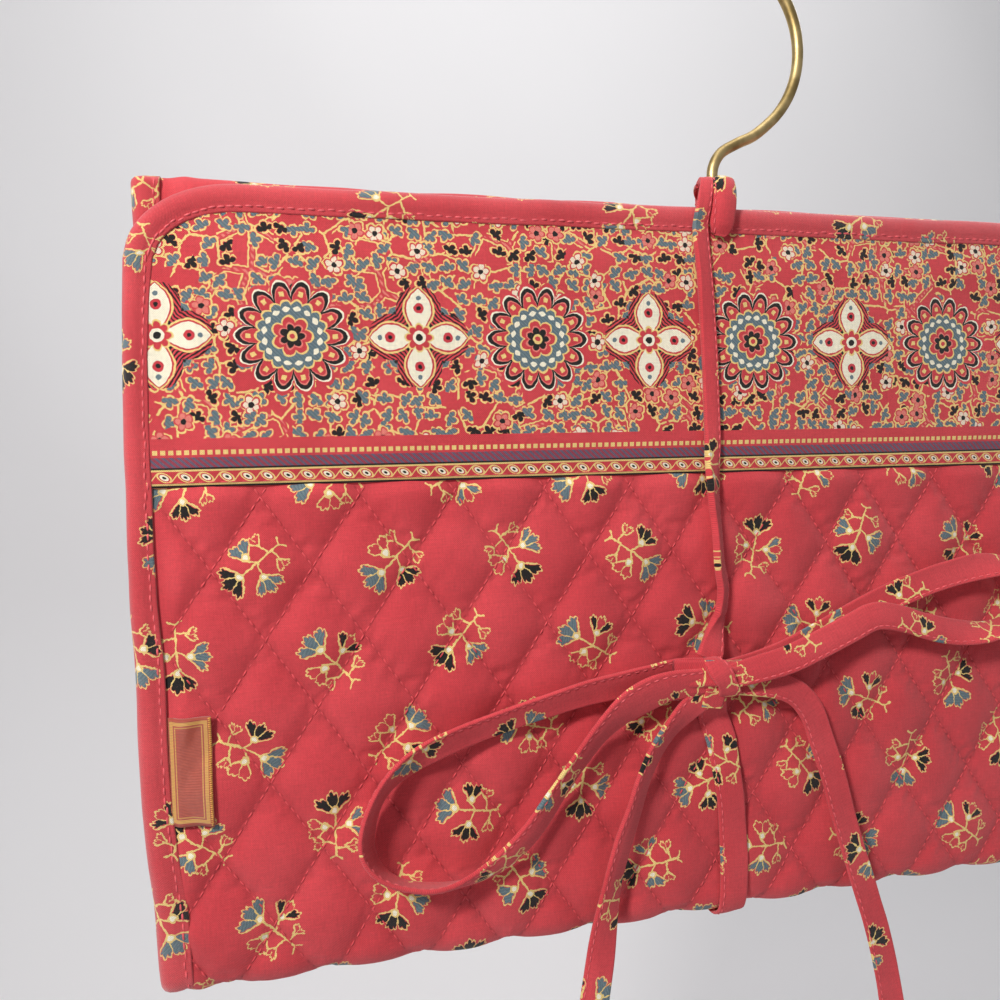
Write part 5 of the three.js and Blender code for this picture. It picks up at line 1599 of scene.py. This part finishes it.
o, st, _, _ = ribbon("tie_strap_upper_ribbon", up, lambda t: up_face, body="front_flap", seed=8, offset=150.0, thick=1.7, curl=-0.15, seam=-1,
    twist=lambda t: -12 * bump_at(t, 0.06, 0.05) + 5 * bump_at(t, 0.2, 0.1) + 44 * on_edge(t),
    wide=lambda t: 0.42 + 0.11 * smoothstep(0.02, 0.16, t) + 0.14 * on_edge(t) + 0.36 * smoothstep(0.92, 1.0, t))
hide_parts("tie_strap_upper")
low = strap_line([(-13.8, -34.5), (-12.9, -40.7), (-10.2, -48.7), (-8.2, -61.8), (-7.2, -74.8), (-7.1, -84.0), (-7.2, -89.5)], 0.72)
t_ = np.linspace(0, 1, len(low))
low[:, 1] += (KNOT[1] + 1.6 - low[:, 1]) * (1 - smoothstep(0.0, 0.16, t_))
arc = [(-7.3, -20.4, Z0 - 89.6), (-7.4, -19.2, Z0 - 93.3), (-7.4, -16.2, Z0 - 95.5), (-7.4, -12.0, Z0 - 95.9), (-7.4, -7.4, Z0 - 95.9)]
lower_pts = np.vstack([low[:-2], arc])
LT = tangents(resample(lower_pts, step=0.55)[0])


def lower_face(t):
    """Looks forward on the flap and down under the fold."""
    w = smoothstep(0.80, 0.93, t)[:, None]
    return (1 - w) * np.array([0, -1.0, 0]) + w * np.array([0, 0, -1.0])


o, st, _, _ = ribbon("tie_strap_lower_ribbon", lower_pts, lower_face, seed=9, offset=190.0, thick=1.1, curl=-0.2,
    twist=lambda t: -10 * bump_at(t, 0.15, 0.1), wide=lambda t: 1.0 - 0.2 * (1 - smoothstep(0, 0.12, t)))
for q in (o, st):
    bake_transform(q)
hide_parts("tie_strap_lower", "tie_strap_under")
back_pts = [(-7.4, -7.4, Z0 - 95.9), (-7.4, -4.0, Z0 - 95.85), (-7.4, -1.5, Z0 - 95.7), (-7.4, 0.6, Z0 - 95.4)]
o, st, _, _ = ribbon("tie_strap_under_ribbon", back_pts, (0, 0, -1.0), seed=10, offset=215.0, thick=1.1, curl=-0.2, wide=lambda t: 1.0 + 0 * t)
for q in (o, st):
    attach(q, "spine")
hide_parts("tie_strap_under")


# knot: a band of the strap pulled tight over the crossing, with the gathered parts under it
def knot_band():
    """The strap's turn over the crossing; it runs from the upper left to the lower right."""
    pts, face = [], []
    n = 40
    for i in range(n + 1):
        a = 2 * PI * i / n * 0.985 + 2.4
        ry, rz = 3.7, 4.5
        x = KNOT[0] + 2.3 - 2.4 * math.sin(a) + 1.4 * (i / n - 0.5)
        pts.append((x, KNOT[1] + 0.6 - ry * math.cos(a) * (1.0 + 0.05 * math.sin(3 * a)), KNOT[2] - 0.2 + rz * math.sin(a)))
        face.append((0.0, -math.cos(a), math.sin(a)))
    face = np.array(face)
    fn = lambda t: np.stack([np.interp(t, np.linspace(0, 1, len(face)), face[:, k]) for k in range(3)], -1)
    return pts, fn


kp, kf = knot_band()
o, st, _, _ = ribbon("tie_knot_band", kp, kf, body="tie_bow", seed=12, offset=275.75, thick=1.3, step=0.45, curl=-0.5,
    wide=lambda t: 0.82 + 0.1 * np.sin(6 * PI * t), width=6.6)
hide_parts("tie_knot")


def gather(name, p0, p1, r0, r1, seed, body):
    """A gathered bunch of cloth between two points: soft folds run along it."""
    P = np.linspace(p0, p1, 22)
    T = tangents(P)
    F = np.tile(np.array([0, -1.0, 0]), (len(P), 1))
    Nn = unit(F - (F * T).sum(-1, keepdims=True) * T)
    W = np.cross(T, Nn)
    a = np.linspace(0, 2 * PI, 41)[:-1]
    secs = []
    for i, t in enumerate(np.linspace(0, 1, len(P))):
        ru = r0[0] * (1 - t) + r1[0] * t
        rw = r0[1] * (1 - t) + r1[1] * t
        f = 1 + 0.13 * np.sin(5 * a + seed) + 0.08 * np.sin(9 * a + 2.0 * seed + t)
        secs.append(np.stack([ru * f * np.cos(a), rw * f * np.sin(a)], -1))
    secs = np.array(secs)
    verts, faces = sweep(P, W, Nn, secs)
    faces = outward(verts, faces)
    k = len(a)
    u = np.tile(a * 2.2, len(P)) + seed * 9
    v = np.repeat(np.linspace(0, np.linalg.norm(np.subtract(p1, p0)), len(P)), k)
    o = make(name, verts, faces, [M_TIE], cloth=np.stack([u, v], -1))
    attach(o, body)
    return o


gather("knot_gather_left", KNOT + (-10.0, 0.3, 0.2), KNOT + (1.6, 0.2, 0.2), (4.5, 0.9), (3.9, 2.9), 1.0, "tie_bow")
gather("knot_gather_right", KNOT + (8.8, 0.2, 0.6), KNOT + (1.0, 0.2, 0.0), (2.7, 1.1), (3.4, 2.9), 2.2, "tie_bow")
gather("knot_gather_below", KNOT + (0.2, 0.9, -7.6), KNOT + (1.4, 0.4, 0.0), (3.4, 1.0), (3.6, 2.7), 3.1, "tie_bow")


def over_edge(t_or_points):
    """Faces away from the flap's top edge: forward on the front, up over the top."""
    T_ = tangents(t_or_points)
    return np.cross(np.tile([1.0, 0, 0], (len(T_), 1)), T_)


# at the flap's top edge the tie is sewn in: one end stands up as a small puffy loop on the right,
# the other goes up on the left of the stem; between them it passes round the stem
end_pts = [(-9.0, -20.4, Z0 + 77.2), (-8.7, -21.3, Z0 + 79.6), (-8.5, -21.7, Z0 + 82.1), (-8.3, -21.8, Z0 + 84.7), (-8.0, -21.3, Z0 + 88.4), (-7.6, -19.6, Z0 + 91.0), (-7.0, -17.0, Z0 + 91.9), (-6.4, -14.6, Z0 + 91.4)]
loop_face = over_edge(resample(end_pts, step=0.55)[0])
o, st, _, _ = ribbon("tie_sewn_end", end_pts, lambda t: loop_face, body="front_flap", seed=13, offset=262.0, thick=2.3, curl=-1.3, width=6.4, seam=-1,
    wide=lambda t: (0.9 + 0.12 * bump_at(t, 0.45, 0.3) - 0.16 * smoothstep(0.8, 1.0, t)) * (0.4 + 0.6 * np.sqrt(1 - (1 - np.clip(t / 0.2, 0, 1)) ** 2)),
    taper=lambda t: 0.45 + 0.55 * smoothstep(0, 0.16, t))
wrap_pts = [
    (-6.6, -16.4, Z0 + 90.7), (-4.4, -12, Z0 + 92.0), (0.2, -6.4, Z0 + 93.2), (3.3, -1.4, Z0 + 93.9), (2.6, 2.7, Z0 + 94.2),
    (-0.4, 4.0, Z0 + 94.2), (-3.2, 2.2, Z0 + 94.1), (-4.2, -2.2, Z0 + 93.8), (-7.0, -8.4, Z0 + 92.7), (-9.2, -13.2, Z0 + 91.4), (-10.3, -16.0, Z0 + 90.6),
]


def wrap_face(t):
    """Flat where it lies over the leaves' top edges, on edge where it passes round the stem."""
    W_, s_ = resample(wrap_pts, count=len(t))
    T_ = tangents(W_)
    out = unit(np.cross(T_, np.tile([0, 0, 1.0], (len(t), 1))))
    k = (smoothstep(0.16, 0.38, t) * (1 - smoothstep(0.62, 0.84, t)))[:, None]
    return out * k + np.array([0, 0, 1.0]) * (1 - k)


o, st, _, _ = ribbon("tie_wrap_ribbon", wrap_pts, wrap_face, body="back_panel", seed=15, offset=300.0, thick=1.5, curl=0.2, width=4.8)
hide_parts("tie_wrap")


# ================================================================ hook
def hook():
    pts = [(0, 0, BAR_Z + 3.0), (0, 0, BAR_Z + 7.0), (0, 0, Z0 + 98.0), (0.3, 0, Z0 + 101.6), (2.4, 0, Z0 + 105.4), (7.4, 0, Z0 + 108.5), (12.6, 0, Z0 + 111.0)]
    a0, a1 = -0.80, math.radians(148)
    for a in np.linspace(a0, a1, 34):
        pts.append((26.5 * math.cos(a), 0, -25.0 + 26.5 * math.sin(a)))
    P, s = resample(pts, step=0.9)
    P[:, 1] += 0.12 * value_noise(s / 40, 0.5, 91)
    T = tangents(P)
    V_ = np.tile([0, 1.0, 0], (len(P), 1))
    U_ = unit(np.cross(V_, T))
    V_ = np.cross(T, U_)
    a = np.linspace(0, 2 * PI, 21)[:-1]
    circle = np.stack([np.cos(a), np.sin(a)], -1)
    r = np.full(len(P), 1.5)
    e = np.clip((s[-1] - s) / 1.5, 0, 1)
    r = r * np.sqrt(np.maximum(0.03, 1 - (1 - e) ** 2))
    r *= 1 + 0.012 * value_noise(s / 9, 0.1, 92)
    verts, faces = sweep(P, U_, V_, circle[None] * r[:, None, None])
    faces = outward(verts, faces)
    o = make("hook_wire", verts, faces, [M_WIRE], cloth=np.stack([np.tile(a, len(P)), np.repeat(s, 20)], -1))
    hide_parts("hanger_hook")
    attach(o, "hanger")


hook()

# ================================================================ pockets
WINDOWS = {
    # name: (lining face y, way out, v low, v high, zip on top or bottom)
    "back_upper_pocket": (0.7, -1, -4.5, 72.0, "top"),
    "back_lower_pocket": (0.7, -1, -91.9, -11.5, "top"),
    "flap_lower_pocket": (-15.5, 1, -76.0, 0.0, "bottom"),
    "flap_upper_pocket": (-15.5, 1, 7.0, 77.2, "bottom"),
}
for idx, (name, (yl_, d, lo, hi, side)) in enumerate(WINDOWS.items()):
    body = "back_panel" if name.startswith("back") else "front_flap"
    zlow = hi - 12.4 if side == "top" else lo
    mid = zlow + 6.2
    w0, w1 = (lo, zlow + 1.2) if side == "top" else (zlow + 11.2, hi)
    if name == "back_lower_pocket":
        w0 = -90.0
    # clear window, loose enough to bulge a little
    nx, nv = 121, 31
    x = np.linspace(-143.0, 143.0, nx)
    v = np.linspace(w0, w1, nv)
    X, V = np.meshgrid(x, v, indexing="ij")
    if d > 0:
        X = X * np.minimum(1, corner_half(V, 3.2) / 143.0)
    e = np.minimum(np.minimum(V - w0, w1 - V), 141.0 - np.abs(X))
    h = smoothstep(0, 16, e) * (1.3 + 0.7 * value_noise(X / 31, V / 24, 101 + idx)) + 0.22 * value_noise(X / 9, V / 13, 105 + idx) * smoothstep(0, 5, e)
    PW = np.stack([X, yl_ + d * (0.66 + 0.55 * np.clip(h, 0, 4)), Z0 + V], -1)
    gn = grid_normals(PW)
    verts, faces = shell(PW, 0.28, (gn[60, 15, 1] > 0) != (d > 0))
    cl = np.stack([X, V], -1).reshape(-1, 2)
    o = make(name + "_vinyl", verts, faces, [M_VINYL], cloth=np.concatenate([cl, cl]))
    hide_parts(name + "_window")
    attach(o, body)
    # zip tape: woven, its edge sewn over the vinyl
    nx, nv = 181, 14
    x = np.linspace(-142.6, 142.6, nx)
    v = np.linspace(zlow, zlow + 12.4, nv)
    X, V = np.meshgrid(x, v, indexing="ij")
    rib = np.exp(-(((V - mid) / 2.2) ** 2))
    h = 0.14 * value_noise(X / 16, V / 5, 111 + idx) - 0.25 * rib
    PW = np.stack([X, yl_ + d * (1.05 + h), Z0 + V], -1)
    gn = grid_normals(PW)
    verts, faces = shell(PW, 0.4, (gn[90, 7, 1] > 0) != (d > 0))
    cl = np.stack([X, V], -1).reshape(-1, 2)
    o = make(name + "_tape", verts, faces, [M_TAPE], cloth=np.concatenate([cl, cl]))
    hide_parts(name + "_zip_tape")
    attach(o, body)
    # teeth: two rows of small rounded links that mesh
    pp = []
    V8, F8 = [], []
    tooth = np.array([(-0.42, -0.0), (-0.3, 0.38), (0.3, 0.38), (0.42, 0.0), (0.3, -0.3), (-0.3, -0.3)])
    pitch = 1.45
    count = int(262 / pitch)
    for kx in range(count):
        xx = -131 + 0.6 + kx * pitch
        for row_ in (0, 1):
            xx2 = xx + row_ * pitch / 2
            z_in, z_out = (-0.35, 1.75) if row_ == 0 else (0.35, -1.75)
            base = len(V8)
            for zz, sc in ((z_out, 0.85), ((z_in + z_out) / 2, 1.0), (z_in, 1.12)):
                for tx, ty in tooth:
                    V8.append((xx2 + tx * sc, yl_ + d * (1.75 + ty * 1.1 * sc), Z0 + mid + zz))
            for r_ in range(2):
                for c_ in range(6):
                    q_ = (c_ + 1) % 6
                    F8.append([base + r_ * 6 + c_, base + r_ * 6 + q_, base + (r_ + 1) * 6 + q_, base + (r_ + 1) * 6 + c_])
            F8.append([base + c_ for c_ in range(5, -1, -1)])
            F8.append([base + 12 + c_ for c_ in range(6)])
    V8 = np.array(V8)
    # each link faces out: test one of each row
    one = outward(V8[:18], [f for f in F8[:14]])
    if one[0] != F8[0]:
        F8 = [F8[i][::-1] if (i // 14) % 2 == 0 else F8[i] for i in range(len(F8))]
    two_src = [[q - 18 for q in f] for f in F8[14:28]]
    two = outward(V8[18:36], two_src)
    if two[0] != two_src[0]:
        F8 = [F8[i][::-1] if (i // 14) % 2 == 1 else F8[i] for i in range(len(F8))]
    o = make(name + "_teeth", V8, F8, [M_COIL])
    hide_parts(name + "_zip_coil")
    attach(o, body)
    # stitching along the tape's edges
    sx = np.arange(-138, 138, 2.4)
    pp = np.concatenate([np.stack([sx, np.full_like(sx, yl_ + d * 1.2), np.full_like(sx, Z0 + vv)], -1) for vv in (zlow + 1.1, zlow + 11.3)])
    o = stitch_mesh(name + "_tape_stitches", pp, np.tile([1.0, 0, 0], (len(pp), 1)), np.tile([0, float(d), 0], (len(pp), 1)), 1.7, 0.17, M_STITCH)
    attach(o, body)
for name, body, y0, d, v0, v1 in (("back_pocket_strip", "back_panel", 0.7, -1, -11.3, -4.7), ("flap_pocket_strip", "front_flap", -15.5, 1, 0.2, 6.8)):
    nx, nv = 241, 14
    x = np.linspace(-142.8, 142.8, nx)
    v = np.linspace(v0, v1, nv)
    X, V = np.meshgrid(x, v, indexing="ij")
    e = np.minimum(V - v0, v1 - V)
    h = 0.45 * smoothstep(0, 1.6, e) - 0.2 * np.exp(-(((e - 1.1) / 0.5) ** 2)) + 0.08 * value_noise(X / 6, V / 3, 121)
    PW = np.stack([X, y0 + d * (1.1 + h), Z0 + V], -1)
    gn = grid_normals(PW)
    verts, faces = shell(PW, 0.4, (gn[90, 7, 1] > 0) != (d > 0))
    cl = np.stack([X * 0.98 + 5, V * 1.0 + 30], -1).reshape(-1, 2)
    o = make(name + "_cloth", verts, faces, [M_BINDING], cloth=np.concatenate([cl, cl]))
    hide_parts(name)
    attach(o, body)
    sx = np.arange(-138, 138, 2.3)
    pp = np.concatenate([np.stack([sx, np.full_like(sx, y0 + d * 1.42), np.full_like(sx, Z0 + vv)], -1) for vv in (v0 + 1.1, v1 - 1.1)])
    o = stitch_mesh(name + "_stitches", pp, np.tile([1.0, 0, 0], (len(pp), 1)), np.tile([0, float(d), 0], (len(pp), 1)), 1.6, 0.18, M_STITCH_PINK)
    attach(o, body)

# ================================================================ wadding
for name, body, y0, y1, hi in (("back_wadding", "back_panel", 2.0, 2.8, 71.0), ("flap_wadding", "front_flap", -17.6, -16.8, 61.0)):
    x = np.linspace(-141.0, 141.0, 95)
    v = np.linspace(-81.0, hi, 51)
    X, V = np.meshgrid(x, v, indexing="ij")
    PW = np.stack([X, y1 + 0.1 * value_noise(X / 9, V / 9, 131), Z0 + V], -1)
    gn = grid_normals(PW)
    verts, faces = shell(PW, y1 - y0, gn[40, 20, 1] < 0)
    cl = np.stack([X, V], -1).reshape(-1, 2)
    o = make(name + "_fleece", verts, faces, [M_WADDING], cloth=np.concatenate([cl, cl]))
    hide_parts(name)
    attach(o, body)

# ================================================================ CAD nodes that stay
for node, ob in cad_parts.items():
    if ob.hide_render:
        continue
    if node.endswith("wadding"):
        mat = M_WADDING
    elif node.endswith(("slider", "pull")):
        mat = M_ZIPMETAL
    elif node.startswith("hanger"):
        mat = M_WIRE
    elif node.startswith("crossbar_tip"):
        mat = M_TIP
    else:
        mat = M_TIP
        print("no material rule for", node)
    for i in range(len(ob.material_slots)):
        ob.material_slots[i].link = "OBJECT"
        ob.material_slots[i].material = mat


# ================================================================ stage and light
def stage_cloth():
    """A pale sheet: floor that sweeps up into a wall, with soft folds."""
    nu, nv = 160, 150
    u = np.linspace(-2.6, 2.6, nu)
    s = np.linspace(0, 4.6, nv)
    Ug, Sg = np.meshgrid(u, s, indexing="ij")
    y_wall, z_floor, r = 0.80, -0.62, 0.35
    L0 = 2.2
    ang = np.clip((Sg - L0) / r, 0, PI / 2)
    upl = np.maximum(Sg - L0 - r * PI / 2, 0)
    y = np.where(Sg < L0, y_wall - r - (L0 - Sg), y_wall - r + r * np.sin(ang))
    z = z_floor + r * (1 - np.cos(ang)) + upl
    fold = 0.012 * value_noise((Ug * 0.9 + z * 0.5) * 3.2, (z * 0.5) * 1.3, 201) * smoothstep(L0 - 0.4, L0 + 0.5, Sg)
    fold += 0.004 * value_noise((Ug + z * 0.6) * 7.5, z * 1.8, 202) * smoothstep(L0 - 0.4, L0 + 0.5, Sg)
    P = np.stack([Ug, y - fold, z], -1) / MM
    o = make("stage_sheet", P.reshape(-1, 3), grid_quads(nu, nv), [])
    mat = bpy.data.materials.new("stage_white")
    mat.use_nodes = True
    k = Nodes(mat.node_tree)
    b = mat.node_tree.nodes["Principled BSDF"]
    V = k.node("ShaderNodeTexCoord").outputs["Object"]
    k.put(b.inputs["Base Color"], k.mix(k.noise(V, 1.5, 2.0), rgba(238, 236, 236), rgba(245, 244, 245)))
    b.inputs["Roughness"].default_value = 0.9
    o.data.materials.append(mat)


stage_cloth()


def area(name, loc, target, size, energy, colour=(1, 1, 1)):
    l = bpy.data.lights.new(name, "AREA")
    l.shape = "SQUARE"
    l.size = size
    l.energy = energy
    l.color = colour
    o = bpy.data.objects.new(name, l)
    scene.collection.objects.link(o)
    o.location = loc
    o.rotation_euler = (Vector(target) - Vector(loc)).to_track_quat("-Z", "Y").to_euler()
    return o


area("key", (-0.43, -0.41, 0.19), (0, 0, -0.19), 0.1, 4.1, (1.0, 0.985, 0.965))
area("fill", (0.6, -1.2, 0.0), (0, 0, -0.15), 1.2, 0.2, (0.97, 0.985, 1.0))
back = area("back", (0.6, 0.62, 0.5), (0, 0, -0.17), 0.35, 0.5, (0.98, 0.985, 1.0))
back.data.spread = math.radians(50)
wash = area("wall_wash", (0.1, 0.02, 1.15), (0.2, 0.8, 0.15), 1.0, 5.7)
wash.data.spread = math.radians(125)
world = bpy.data.worlds.new("world")
scene.world = world
world.use_nodes = True
bg = world.node_tree.nodes["Background"]
bg.inputs[0].default_value = (0.93, 0.95, 1.0, 1)
bg.inputs[1].default_value = 0.27
scene.view_settings.view_transform = "Standard"
scene.view_settings.look = "None"
